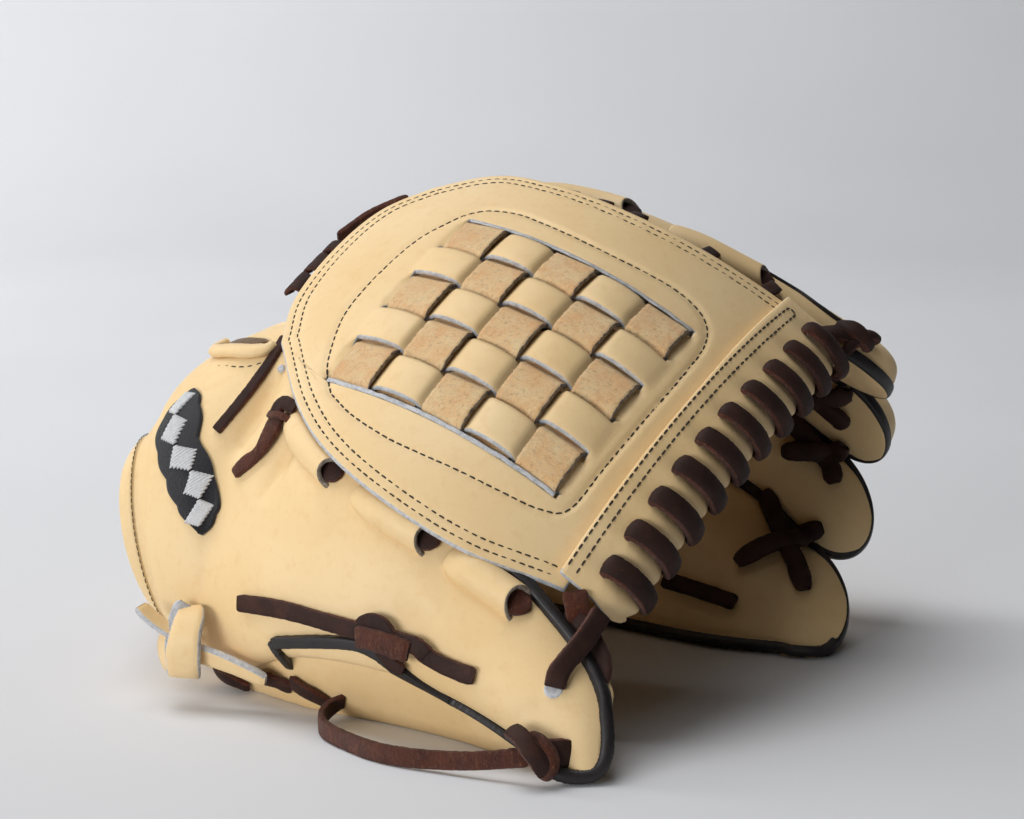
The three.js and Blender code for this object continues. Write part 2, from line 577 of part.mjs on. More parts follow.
function webBand() {
  const bs = [bandRows[0].b, ...Array.from({ length: wraps }, (_, w) => [wrapB(w) - hole.half, wrapB(w) + hole.half]).flat(), bandRows[bandRows.length - 1].b];
  // across the band: a measured in from the fold, and the lift of the outer face
  const section = (b) => {
    const { fold, inner } = bandAt(b);
    return [[inner, bandTop - 0.1], [fold - hole.far, bandTop], [fold - hole.near, bandTop], [fold - 4.5, 1.9],
      [fold - 1.4, -0.6], [fold, -4], [fold - 1.4, -7.4], [fold - 4.5, -9.5],
      [fold - hole.underNear, bandUnder], [fold - hole.underFar, bandUnder + 0.2], [inner + 2, -5.8]];
  };
  const columns = bs.map(section);
  const grid = columns[0].map((_, i) => bs.map((b, j) => onWeb(columns[j][i][0], b, columns[j][i][1])));
  const isHole = (i, j) => (i === 1 || i === 8) && j % 2 === 1;
  leather('web_band', 'cream_leather', grid, bandLeather, false, (i, j) => !isHole(i, j));
}
webBand();

function edgeLace() {
  const path = [], face = [], sides = [];
  const out = { in: web.along.map((v) => -v), up: webUp, on: web.along, down: webUp.map((v) => -v) };
  for (let w = 0; w < wraps; w++) {
    const b = wrapB(w);
    const put = (da, lift, db, dir) => {
      const at = (q) => onWeb(bandAt(b + db + q).fold + da, b + db + q, lift);
      path.push(at(0));
      face.push(dir);
      sides.push(unit(sub(at(-1), at(1))));
    };
    put(-laceIn - 0.3, -4, 0, out.in);
    put(-laceIn, bandTop + clear, 0, unit(add(out.in, out.up)));
    put(-4.2, 2.5, 1.2, unit(add(out.up, out.on, 0.3)));
    put(-0.9, -0.1, 2.4, unit(add(out.up, out.on)));
    put(clear + 0.2, -4, 3.8, out.on);
    if (w === wraps - 1) break;
    put(-0.9, -8, 5.8, unit(add(out.down, out.on)));
    put(-4.4, -10.2, 8.6, unit(add(out.down, out.on, 0.3)));
    put(-laceIn, bandUnder - clear - 0.2, wrapStep, unit(add(out.in, out.down)));
  }
  place('web_edge_lace', 'dark_lace', laceGeometry(path, face, path.length, laceWidth - 0.4, laceThick, sides));
}
edgeLace();

// ---- leather loops along both sides of the web, and the lace in each ----
const loopWall = 1.4;
// from and to are grid places of the loop's ends, r its half width, high its height
function loopShell(name, grid, row) {
  const n = 4, m = 6;
  const shell = [];
  for (let i = 0; i < n; i++) {
    const t = i / (n - 1);
    const at = gridAt(grid, ...mix(row.from, row.to, t));
    const next = gridAt(grid, ...mix(row.from, row.to, t + 0.1)), prev = gridAt(grid, ...mix(row.from, row.to, t - 0.1));
    const along = unit(sub(next.p, prev.p)), side = unit(cross(at.up, along));
    const r = row.r * (0.55 + 0.45 * Math.sqrt(Math.min(1, t * 1.6 + 0.05)));
    const high = row.high * (0.5 + 0.5 * Math.sqrt(Math.min(1, t * 1.6 + 0.05)));
    shell.push(Array.from({ length: m }, (_, j) => {
      const q = Math.PI * (0.04 + 0.92 * j / (m - 1));
      return add(add(at.p, side, -Math.cos(q) * r), at.up, clear + 0.5 + Math.sin(q) * high);
    }));
  }
  leather(name, 'cream_leather', shell, loopWall, true);
}
function loopLace(name, grid, row) {
  const [i1, j1] = row.to, [i0, j0] = mix(row.from, row.to, 0.45);
  const rows = [[i0, j0, 1.1], [...mix([i0, j0], [i1, j1], 0.5), 1.1], [i1 + row.out[0] * 0.5, j1 + row.out[1] * 0.4, 1.1], [i1 + row.out[0], j1 + row.out[1], 0.9]];
  place(name, 'dark_lace', gridLace(grid, rows, 6, 5, 1.4));
}
const thumbLoops = table('from to r high out', [
  [[12.2, 6.55], [14.8, 6.45], 4.6, 3.2, [0.5, 0.4]],
  [[16.2, 6.15], [19.0, 6.3], 4.6, 3.2, [0.6, 0.3]],
  [[19.9, 6.1], [22.0, 6.3], 5, 4, [0.5, 0.3]],
]);
thumbLoops.forEach((row, k) => {
  loopShell(`thumb_loop_${k + 1}`, thumbGrid, row);
  loopLace(`thumb_side_lace_${k + 1}`, thumbGrid, row);
});

const indexGrid = backs[0];
const indexLoops = table('from to r high out', [
  [[2.2, 1.0], [0.8, 1.0], 4.2, 2.6, [-0.4, 0]],
  [[2.8, 1.0], [4.6, 1.0], 4.4, 2.8, [0.4, 0]],
  [[5.4, 1.0], [7.2, 1.0], 4.4, 2.8, [0.4, 0]],
]);
indexLoops.forEach((row, k) => {
  loopShell(`index_loop_${k + 1}`, indexGrid, row);
  loopLace(`index_side_lace_${k + 1}`, indexGrid, row);
});

// ---- laces ----
// a cross of two laces over a finger seam on the pocket side: center and the four arm ends as rows and fingers, low the lift of the ends
const onPalm = ([i, s], lift) => [i, palmColumn(s), lift];
const crossRows = table('name center arm1 arm2 arm3 arm4 low', [
  ['index_middle_lace', [15.6, 1.22], [15.0, 1.5], [16.2, 1.04], [15.0, 1.06], [16.3, 1.42], 0.9],
  ['middle_ring_lace', [15.7, 2.14], [15.1, 2.08], [16.3, 2.32], [15.2, 2.36], [16.4, 1.8], 1.2],
  ['ring_pinky_lace', [15.6, 3.2], [14.9, 2.98], [16.5, 3.46], [14.7, 3.48], [16.7, 2.84], 1],
]);
for (const row of crossRows) {
  const arms = (from, to, over) => gridLace(fingerPalm, [onPalm(from, row.low), onPalm(row.center, row.low + over), onPalm(to, row.low)],
    5, 4.6, laceThick, -1);
  joined(row.name, 'dark_lace', [arms(row.arm1, row.arm2, 0.8), arms(row.arm3, row.arm4, 1.9)]);
}
const pinkyBar = [[[12.9, 3.74], 0.6], [[13.7, 3.76], 0.9], [[14.6, 3.78], 0.6]];
place('pinky_lace', 'dark_lace', gridLace(fingerPalm, pinkyBar.map(([at, lift]) => onPalm(at, lift)), 5, 4.6, laceThick, -1));
place('heel_lace', 'dark_lace', gridLace(thumbPalm, [[2.4, 0.45, 0.6], [3.4, 0.5, 1.2], [4.4, 0.5, 0.8], [5.6, 0.45, 0.8]], 9, 3.4, laceThick, -1));

// tie lace on the thumb: a free tail, a knot and a free end
{
  const tail = gridLace(thumbGrid, [[11.4, 2.4, 0.5], [13, 2.6, 0.5], [14.7, 2.8, 0.5], [16.4, 2.9, 1.6]], 9);
  const knot = gridAt(thumbGrid, 16.6, 2.95, 3.2);
  const along = sub(gridAt(thumbGrid, 18, 2.7).p, gridAt(thumbGrid, 15, 2.7).p);
  const roll = drum(knot.p, cross(knot.up, along), knot.up, 12, 5.2, 14);
  const end = gridLace(thumbGrid, [[16.8, 2.9, 1.6], [17.9, 3.3, 0.9], [18.6, 3, 0.5], [19.4, 2.8, 0.5]], 8);
  joined('thumb_tie_lace', 'dark_lace', [tail, roll, end]);
}
// the loop lace under the thumb: out of the palm, round, and back into a knot by the thumb tip
{
  const path = [[-55.5, -93.5, 5.4], [-56, -103, 6.2], [-48, -125, 6], [-31, -140, 5.6], [-14, -148, 5.2], [2, -152, 5.2]];
  const face = [[-1, -0.2, 0], [-1, -0.5, 0], [-0.6, -1, 0], [-0.3, -1, 0], [-0.1, -1, 0], [0.1, -1, 0]];
  const ring = laceGeometry(path, face, 17, 5.4);
  const roll = drum([6.5, -154.5, 7.3], [0.3, 0, 1], [0, -1, 0], 12, 6, 12);
  joined('thumb_loop_lace', 'dark_lace', [ring, roll]);
}
// lace ends at the crotch
place('crotch_lace_flat', 'dark_lace', gridLace(thumbGrid, [[7.8, 4.85, 2.9], [8.9, 5.3, 1.8], [9.8, 6.0, 0.9], [10.1, 6.7, 0.9]], 7, 4.6));
place('crotch_lace_twisted', 'dark_lace', gridLace(thumbGrid, [[10.4, 4.6, 0.6], [11.2, 5.5, 0.8], [11.5, 6.3, 1.4]], 6, 5));
lace('crotch_side_lace', 'dark_lace', [onWeb(-72, 50, -3), onWeb(-79, 41, -3), onWeb(-83, 26, -3)],
  [web.along.map((v) => -v), web.along.map((v) => -v), web.along.map((v) => -v)], 7, 5, laceThick);
place('crotch_side_knot', 'dark_lace', drum(onWeb(-79, 8, -4.2), sub(onWeb(-80, 0), onWeb(-81.5, 20)), webUp, 6, 7, 26));
// lace at the thumb end of the web's top band
{
  const end = gridAt(thumbGrid, 22.8, 4.1, 0.7);
  lace('corner_lace', 'dark_lace', [[25, -127.9, 41.5], [21, -134.5, 35], add(end.p, [3, -1.5, 5]), end.p],
    [[0.2, -0.9, 0.3], [0.3, -0.9, 0.2], [0.4, -0.8, 0.2], end.up], 7);
}
// cream lace knotted at the wrist
{
  const left = laceGeometry([[-97, -80, 18.3], [-105, -78.5, 22], [-115, -76, 26]], [[0, -0.8, 0.6], [0, -0.8, 0.6], [0, -0.8, 0.6]], 5, 7);
  const right = laceGeometry([[-95, -82.5, 17.3], [-84, -88.5, 15.3], [-73, -92, 12]], [[0.1, -0.7, 0.7], [0.1, -0.7, 0.7], [0.1, -0.8, 0.6]], 5, 7);
  const roll = drum([-96.7, -80.3, 18.4], [0.35, -0.1, 1], [-0.3, -1, 0.2], 12, 8, 16);
  joined('strap_lace', 'cream_lace', [left, roll, right]);
}
place('index_tip_lace', 'dark_lace', drum(gridAt(indexGrid, 9.3, 0.9, 4.2).p, [0.6, 0.2, -0.6], gridAt(indexGrid, 9.3, 0.9).up, 7, 5, 14));

// ---- felt patch on the strap ----
// rows down the patch: i and j of its middle on the thumb grid, and its half width along i
const patchRows = table('i j half', [[6.2, 6.0, 0.4], [6.2, 5.4, 0.9], [6.7, 4.7, 1.25], [7.5, 4.1, 1.4], [7.4, 3.5, 0.9]]);
leather('patch', 'patch_felt', [-1, -0.33, 0.33, 1].map((k) => smooth(patchRows.map((r) => [r.i, r.j, r.half]), 8)
  .map(([i, j, half]) => gridAt(thumbGrid, i + k * half, j, 1.7).p)), 1.2);

// the frame's origin: under the middle of the glove, on the floor
group.position.set(-floorMiddle[0], -floorMiddle[1], 0);

export default group;
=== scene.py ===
import math
import bpy
import numpy as np
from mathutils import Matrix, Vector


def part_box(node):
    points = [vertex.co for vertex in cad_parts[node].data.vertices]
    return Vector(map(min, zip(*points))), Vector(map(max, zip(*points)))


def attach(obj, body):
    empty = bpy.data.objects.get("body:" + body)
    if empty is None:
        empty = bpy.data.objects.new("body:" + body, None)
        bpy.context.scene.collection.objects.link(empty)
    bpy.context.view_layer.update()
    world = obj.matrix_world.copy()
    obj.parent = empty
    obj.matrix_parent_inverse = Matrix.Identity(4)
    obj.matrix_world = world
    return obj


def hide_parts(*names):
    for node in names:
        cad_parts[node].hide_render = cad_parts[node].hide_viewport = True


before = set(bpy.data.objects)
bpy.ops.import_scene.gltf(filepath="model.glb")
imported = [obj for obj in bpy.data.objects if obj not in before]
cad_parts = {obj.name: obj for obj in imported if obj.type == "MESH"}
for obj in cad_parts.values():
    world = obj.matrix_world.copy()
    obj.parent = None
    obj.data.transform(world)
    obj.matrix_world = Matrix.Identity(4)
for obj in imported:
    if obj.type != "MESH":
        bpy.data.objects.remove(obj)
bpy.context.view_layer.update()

# sizes in millimetres as in the solids, moved to metres when a mesh is made
floorMiddle = np.array([4.28, -46.21, 0.0])
shellLeather = 2.6
foldLeather = 1.0
palmSeam = 3.0
palmFoot = 2.2
laceWidth = 6.2
laceThick = 1.8
clear = 0.4
overPalm = palmSeam + clear + 0.1


# ---- curves ----
def unit(v):
    v = np.asarray(v, float)
    return v / np.maximum(np.linalg.norm(v, axis=-1, keepdims=True), 1e-9)


def mix(a, b, t):
    return np.asarray(a, float) + (np.asarray(b, float) - np.asarray(a, float)) * t


def spline(a, b, c, d, w):
    return 0.5 * (2 * b + (c - a) * w + (2 * a - 5 * b + 4 * c - d) * w ** 2
                  + (3 * b - 3 * c + d - a) * w ** 3)


def curveAt(points, t):
    p = np.asarray(points, float)
    k = len(p) - 1
    x = np.clip(np.asarray(t, float), 0, 1) * k
    i = np.minimum(x.astype(int), k - 1)
    w = (x - i)[..., None]
    ends = np.vstack([2 * p[:1] - p[1:2], p, 2 * p[-1:] - p[-2:-1]])
    return spline(ends[i], ends[i + 1], ends[i + 2], ends[i + 3], w)


def betweenKnots(knots, x):
    # a smooth curve through grids of points, read at x
    k = np.minimum(x.astype(int), len(knots) - 2)
    ends = np.stack([2 * knots[0] - knots[1], *knots, 2 * knots[-1] - knots[-2]])
    near = [np.take_along_axis(ends, (k + q)[None, ..., None], axis=0)[0] for q in range(4)]
    return spline(*near, (x - k)[..., None])


def smoothStep(x):
    x = np.clip(x, 0, 1)
    return x * x * (3 - 2 * x)


def crown(a, b, out, outB, hA, hB, t):
    u = 1 - t
    return (a * u ** 3 + 3 * (a + out * hA) * u * u * t
            + 3 * (b + outB * hB) * u * t * t + b * t ** 3)


# ---- the web's curved plane: a along the glove, b from the thumb to the index finger ----
webOrigin = np.array([-0.3, -75, 113.5])
webAlong = np.array([0.8351, -0.4226, -0.3521])
webAcross = np.array([0.5499, 0.6455, 0.5299])
webUp = unit(np.cross(webAlong, webAcross))


def onWeb(a, b, lift=0.0):
    a, b, lift = np.broadcast_arrays(*(np.asarray(v, float) for v in (a, b, lift)))
    sag = (0.85 * a * a + 0.1 * a * b + 0.5 * b * b) / 200
    return (webOrigin + a[..., None] * webAlong + b[..., None] * webAcross
            + (lift - sag)[..., None] * webUp)


# ---- surfaces, read in the solids' grid units ----
def webPoint(a, b, lift):
    return list(onWeb(a, b, lift))


# a lower seam edge, b the edge under the web, then both crowns, slide and push
thumbRows = np.array([
    [-104, -46, 15, -114, -28, 70, 28, 26, 0, 7],
    [-97, -55, 9, -101, -20, 84, 33, 30, 0, 4],
    [-89, -64, 7, -89, -22, 98, 36, 32, 0, 1],
    [-80, -75, 8, *webPoint(-67, -10, -6), 34, 26, 0.3, 0],
    [-68, -94, 19, *webPoint(-52, -38, -5), 22, 20, 1, 0],
    [-40, -109, 21, *webPoint(-24, -53, -5), 18, 22, 1, 0],
    [-12, -128, 15, *webPoint(4, -58, -5), 14, 20, 1, 0],
    [8, -146, 6, *webPoint(29, -58, -5), 10, 18, 1, 0],
    [19, -154, 3, 22, -134, 30, 8, 6, 0, 0],
    [24, -152, 8, 27, -144, 18, 3, 3, 0, 0],
])
thumbEnd = 27.0
thumbWide = 8.0
underWeb = unit(-webAcross - 0.4 * webUp)


def thumbRuled(i, j):
    i, j = np.broadcast_arrays(np.asarray(i, float), np.asarray(j, float))
    i = np.clip(i, 0, thumbEnd)
    t = (np.clip(j, 0, thumbWide) / thumbWide)[..., None]
    r = curveAt(thumbRows, i / thumbEnd)
    fore = curveAt(thumbRows, np.minimum(i + 1, thumbEnd) / thumbEnd)
    back = curveAt(thumbRows, np.maximum(i - 1, 0) / thumbEnd)
    a, b = r[..., :3], r[..., 3:6]
    step = unit(fore[..., :3] + fore[..., 3:6] - back[..., :3] - back[..., 3:6])
    out = unit(np.cross(step, unit(b - a)))
    outB = unit(out + (underWeb - out) * r[..., 8:9])
    p = crown(a, b, out, outB, r[..., 6:7], r[..., 7:8], t)
    return p - np.array([1.0, 0, 0]) * r[..., 9:10] * 4 * t * (1 - t)


def thumbSurface(i, j):
    # the rows of the table eased into each other
    i, j = np.broadcast_arrays(np.asarray(i, float), np.asarray(j, float))
    wide = np.clip(np.minimum(i, thumbEnd - i) / 1.6, 0, 1)
    total = 0
    for step, share in ((-1.5, 0.15), (-0.75, 0.22), (0, 0.26), (0.75, 0.22), (1.5, 0.15)):
        total = total + share * thumbRuled(i + step * wide, j)
    tip = smoothStep((i - 22) / 4.5) * smoothStep((6 - j) / 5)
    return total + tip[..., None] * np.array([1.6, 0, -3.2])


strapRows = np.array([
    [-114, 2, 70, -111, 38, 58, -109, 56, 36, -106, 57, 8],
    [-104, 5, 82, -102, 42, 66, -100, 61, 38, -97, 61, 7],
    [-95, 6, 91, -92, 45, 73, -90, 64, 38, -88, 63, 6],
])
strapEnd = 5.0


def strapSurface(i, v):
    # v from 0 at the thumb leather's edge to 1 at the little finger side
    i, v = np.broadcast_arrays(np.asarray(i, float), np.asarray(v, float))
    r = curveAt(strapRows, i / strapEnd)
    knots = [thumbSurface(i, 6.0 + 0 * i), thumbSurface(i, thumbWide + 0 * i)]
    knots += [r[..., 3 * k:3 * k + 3] for k in range(4)]
    return betweenKnots(knots, 1 + 4 * np.clip(v, 0, 1))


# palm, thumb limb: s seam, t underside, m inner wall, k where it meets the finger limb
thumbPalmRows = np.array([
    [[-102, -42, 11], [-99, -33, 5], [-99, -22, 9], [-102, -12, 20]],
    [[-93, -53, 7], [-87, -46, -1], [-84, -34, 12], [-84, -22, 38]],
    [[-80, -66, 6], [-72, -62, -2], [-66, -50, 18], [-68, -36, 62]],
    [[-64, -90, 15], [-56, -80, -2], [-52, -62, 24], [-64, -44, 96]],
    [[-38, -105, 17], [-36, -94, -2], [-34, -78, 24], webPoint(-24, -44, -10)],
    [[-12, -123, 11], [-12, -113, -1], [-10, -98, 18], webPoint(4, -48, -10)],
    [[7, -140, 3], [7, -132, -2], [8, -118, 12], webPoint(28, -48, -10)],
    [[17, -149, 1], [16, -143, -2], [17, -132, 9], [19, -127, 24]],
    [[22, -148, 6], [22, -145, 5], [23, -140, 9], [24, -138, 14]],
])
# finger limb: k, then the five seams a to e from the index finger down
fingerRows = np.array([
    [[-102, -12, 20], [-103, 4, 24], [-103, 14, 24], [-103, 26, 21], [-102, 38, 17], [-100, 47, 6]],
    [[-84, -22, 38], [-84, -4, 48], [-84, 12, 48], [-84, 28, 41], [-84, 42, 28], [-84, 51, 4]],
    [[-68, -36, 62], [-64, -10, 84], [-65, 14, 78], [-66, 32, 62], [-68, 44, 40], [-68, 48, 3]],
    [[-64, -44, 96], [-42, 0, 126], [-44, 20, 108], [-50, 37, 82], [-58, 44, 48], [-54, 44, 3]],
    [[-50, -30, 110], [-24, 2, 136], [-22, 24, 120], [-20, 40, 92], [-22, 44, 54], [-24, 37, 2.8]],
    [[-40, -30, 110], [6, 2, 140], [8, 26, 124], [10, 40, 94], [10, 42, 56], [6, 24, 2.6]],
    [[-20, -40, 110], [39, -13, 131], [42, 16, 118], [46, 34, 90], [46, 32, 56], [35, 3, 2.6]],
    [[10, -50, 100], [70, -20, 115], [76, 10, 103], [82, 28, 77], [78, 24, 45], [63, -18, 2.6]],
    [[40, -60, 90], [103, -20, 98], [110, 4, 83], [110, 20, 57], [97, 6, 30], [86, -28, 2.6]],
], float)
lastStation = 16.0
crotchRow = 6.0
tipReach = [17, 17, 21, 21]
tipMarks = [0, 0.35, 0.7, 1]
palmSag = 3.0
fingers = ["index", "middle", "ring", "pinky"]


def railAt(r, i):
    return curveAt(fingerRows[:, r], np.clip(i, 0, lastStation) / lastStation)


def rest(p, least):
    p = np.array(p, float)
    p[..., 2] = np.maximum(p[..., 2], least)
    return p


def fingerFrame(f, i):
    i = np.asarray(i, float)
    fore = np.minimum(i + 1, lastStation)
    back = np.maximum(i - 1, 0)
    on = unit(railAt(f + 1, fore) + railAt(f + 2, fore) - railAt(f + 1, back) - railAt(f + 2, back))
    seamA, seamB = railAt(f + 1, i), railAt(f + 2, i)
    return seamA, seamB, on, unit(np.cross(on, seamB - seamA))


def tipPoint(f, phi, reach=1.0):
    seamA, seamB, on, _ = fingerFrame(f, lastStation)
    phi = np.asarray(phi, float)
    u = (0.5 - 0.5 * np.cos(phi))[..., None]
    far = (tipReach[f] * np.maximum(np.sin(phi), 0.08) * reach)[..., None]
    return seamA + (seamB - seamA) * u + on * far


def palmSurface(i, s):
    # s from -1 at k over 0 at the index finger's seam to 4 at the little finger's lower edge
    i, s = np.broadcast_arrays(np.asarray(i, float), np.asarray(s, float))
    i = np.clip(i, 0, 19)
    station = np.minimum(i, lastStation)
    reach = np.interp(i - lastStation, [0, 1, 2, 3], tipMarks)
    p = np.empty(i.shape + (3,))
    before = s < 0
    p[before] = (railAt(0, station) + (railAt(1, station) - railAt(0, station)) * (1 + s)[..., None])[before]
    for f in range(4):
        here = ~before & (np.clip(np.floor(s), 0, 3) == f)
        if not here.any():
            continue
        u = np.clip(s[here] - f, 0, 1)
        seamA, seamB, _, out = fingerFrame(f, station[here])
        bow = palmSag * 4 * u * (1 - u)
        flat = seamA + (seamB - seamA) * u[:, None] - out * bow[:, None]
        phi = np.arccos(1 - 2 * u)
        _, _, _, outEnd = fingerFrame(f, lastStation)
        r = reach[here]
        tip = tipPoint(f, phi, r) - outEnd * (bow * (1 - r * r * 0.8))[:, None]
        p[here] = np.where((r > 0)[:, None], tip, flat)
    return rest(p, palmFoot + 0.1)


def thumbPalmSurface(i, j):
    i, j = np.broadcast_arrays(np.asarray(i, float), np.asarray(j, float))
    columns = [curveAt(thumbPalmRows[:, q], np.clip(i, 0, lastStation) / lastStation) for q in range(4)]
    x = np.clip(j, 0, 7) / 7 * 3
    p = betweenKnots(columns, x)
    # up to the crotch the edge follows the finger limb's
    edge = railAt(0, i)
    near = smoothStep((x - 2) / 1.0) * smoothStep((crotchRow + 1 - i) / 1.0)
    p = p + (edge - columns[3]) * near[..., None]
    return rest(p, 0)


# crown height at the knuckle stations, then the tip
crownRows = {"index": [8, 10, 11, 11, 10], "middle": [10, 13, 15, 15, 13],
             "ring": [10, 13, 15, 15, 13], "pinky": [5, 9, 16, 20, 18, 15]}
tipCrown = [(0.5, 0.93), (0.85, 0.8), (1.15, 0.6), (1.38, 0.35), (1.5, 0.12)]


def backRows(f):
    name = fingers[f]
    low = name == "pinky"
    first = 0 if low else 7
    stations = np.arange(first, 17.0)
    heights = curveAt(np.array(crownRows[name], float)[:, None], np.linspace(0, 1, len(stations)))[:, 0]
    rows = []
    for i, h in zip(stations, heights):
        seamA, seamB, _, out = fingerFrame(f, i)
        inset = 2.2 / np.linalg.norm(seamB - seamA)
        level = unit([out[0], out[1], 0])
        a = mix(seamA, seamB, inset) + out * (overPalm + (0.5 if low else 0))
        b = seamB + level * (overPalm + 2.2) if low else mix(seamA, seamB, 1 - inset) + out * overPalm
        rows.append([*a, *b, h * 4 / 3, h * 4 / 3])
    seamA, seamB, _, out = fingerFrame(f, lastStation)
    level = unit([out[0], out[1], 0]) if low else out
    for phi, part in tipCrown:
        a = tipPoint(f, phi) + out * overPalm
        b = tipPoint(f, math.pi - phi) + level * (overPalm + (2.2 if low else 0))
        inset = 2.2 / np.linalg.norm(seamB - seamA) * math.cos(phi)
        h = crownRows[name][-1] * 4 / 3 * part
        rows.append([*mix(a, b, inset), *mix(b, a, inset), h, h])
    rows = np.array(rows)
    mid = (rows[:, :3] + rows[:, 3:6]) / 2
    step = np.array([mid[min(k + 1, len(mid) - 1)] - mid[max(k - 1, 0)] for k in range(len(mid))])
    dirs = unit(np.cross(unit(step), unit(rows[:, 3:6] - rows[:, :3])))
    dirs[len(stations):] = out
    return np.hstack([rows, dirs])


backTables = [backRows(f) for f in range(4)]


def backSurface(f, i, j):
    # i in rows of the table, j from 0 to 5 across
    rows = backTables[f]
    i, j = np.broadcast_arrays(np.asarray(i, float), np.asarray(j, float))
    r = curveAt(rows, np.clip(i, 0, len(rows) - 1) / (len(rows) - 1))
    out = unit(r[..., 8:11])
    t = (np.clip(j, 0, 5) / 5)[..., None]
    return rest(crown(r[..., :3], r[..., 3:6], out, out, r[..., 6:7], r[..., 7:8], t), 0)


def indexSurface(i, j):
    return backSurface(0, i, j)


def onSurface(surface, i, j, lift=0.0, sign=1, reach=0.5):
    i, j, lift = (np.asarray(v, float) for v in np.broadcast_arrays(i, j, lift))
    di = surface(i + reach, j) - surface(i - reach, j)
    dj = surface(i, j + reach) - surface(i, j - reach)
    up = unit(np.cross(di, dj)) * sign
    return surface(i, j) + up * lift[..., None], up


# ---- meshes ----
def grid(surface, us, vs):
    u, v = np.meshgrid(us, vs, indexing="ij")
    return surface(u, v)


def gridQuads(ni, nj, keep=None):
    i, j = np.meshgrid(np.arange(ni - 1), np.arange(nj - 1), indexing="ij")
    quads = np.stack([i * nj + j, (i + 1) * nj + j, (i + 1) * nj + j + 1, i * nj + j + 1], axis=-1)
    return quads.reshape(-1, 4) if keep is None else quads[keep]


def weld(points, quads):
    keys = np.round(points * 1000).astype(np.int64)
    _, first, place = np.unique(keys, axis=0, return_index=True, return_inverse=True)
    return points[first], place.reshape(-1)[quads], first


def vertexNormals(points, quads):
    q = points[quads]
    n = np.cross(q[:, 2] - q[:, 0], q[:, 3] - q[:, 1])
    normals = np.zeros_like(points)
    for k in range(4):
        np.add.at(normals, quads[:, k], n)
    return unit(normals)


def sheet(points, quads, thick, dirs=None, bulge=0.22, rim=4, depthFrom=None):
    # a closed sheet of leather: face, rounded rim and back, with material 0, 1 and 2
    count = len(points)
    normals = vertexNormals(points, quads)
    down = unit(dirs) if dirs is not None else normals
    thick = np.broadcast_to(np.asarray(thick, float), (count,))
    start = points if depthFrom is None else depthFrom
    back = start - down * thick[:, None]
    edges = np.concatenate([quads[:, [k, (k + 1) % 4]] for k in range(4)])
    forward = edges[:, 0].astype(np.int64) * count + edges[:, 1]
    backward = edges[:, 1].astype(np.int64) * count + edges[:, 0]
    border = edges[~np.isin(forward, backward)]
    outward = np.zeros_like(points)
    away = np.cross(unit(points[border[:, 1]] - points[border[:, 0]]), normals[border[:, 0]])
    np.add.at(outward, border[:, 0], away)
    np.add.at(outward, border[:, 1], away)
    outward = unit(outward)
    ring = np.unique(border)
    slot = np.full(count, -1)
    slot[ring] = np.arange(len(ring))
    allPoints = [points, back]
    rows = [np.arange(count)]
    for k in range(1, rim):
        angle = math.pi * k / rim
        p = mix(points[ring], back[ring], (1 - math.cos(angle)) / 2)
        p = p + outward[ring] * (bulge * thick[ring] * math.sin(angle))[:, None]
        base = 2 * count + (k - 1) * len(ring)
        rows.append(base + slot)
        allPoints.append(p)
    rows.append(np.arange(count) + count)
    faces = [quads, quads[:, ::-1] + count]
    marks = [np.zeros(len(quads), int), np.full(len(quads), 2)]
    a, b = border[:, 0], border[:, 1]
    for k in range(rim):
        faces.append(np.stack([rows[k][a], rows[k + 1][a], rows[k + 1][b], rows[k][b]], axis=1))
        marks.append(np.full(len(border), 1))
    points = np.vstack(allPoints)
    faces = np.vstack(faces)
    used = np.unique(faces)
    place = np.full(len(points), -1)
    place[used] = np.arange(len(used))
    return points[used], place[faces], np.concatenate(marks)


def together(parts):
    points, faces, marks = [], [], []
    base = 0
    for p, f, m in parts:
        points.append(p)
        whole = f.tolist() if isinstance(f, np.ndarray) else f
        faces += [[v + base for v in q] for q in whole]
        marks += list(m)
        base += len(p)
    return np.vstack(points), faces, np.array(marks)


def marked(part, kind):
    # the part with one material on all its faces
    return part[0], part[1], np.full(len(part[2]), kind)


def makePiece(name, part, materials, nodes):
    points, faces, marks = part
    mesh = bpy.data.meshes.new(name)
    if isinstance(faces, np.ndarray):
        faces = faces.tolist()
    mesh.from_pydata(((points - floorMiddle) * 0.001).tolist(), [], faces)
    for m in materials:
        mesh.materials.append(m)
    mesh.polygons.foreach_set("material_index", np.asarray(marks, dtype=np.int32))
    mesh.polygons.foreach_set("use_smooth", np.full(len(faces), True))
    mesh.update()
    piece = bpy.data.objects.new(name, mesh)
    bpy.context.scene.collection.objects.link(piece)
    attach(piece, "root")
    if nodes:
        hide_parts(*nodes)
    return piece


# a lace's section, counted round from its right side: width and thickness as parts of their halves
laceSection = np.array([
    [1, 0], [1, 0.6], [0.93, 0.94], [0.5, 1.05], [0, 1.1], [-0.5, 1.05], [-0.93, 0.94], [-1, 0.6],
    [-1, 0], [-1, -0.6], [-0.93, -0.94], [-0.5, -1], [0, -1], [0.5, -1], [0.93, -0.94], [1, -0.6],
])
laceMarks = [1, 1, 0, 0, 0, 0, 1, 1, 1, 1, 2, 2, 2, 2, 1, 1]   # face 0, edge 1, flesh side 2


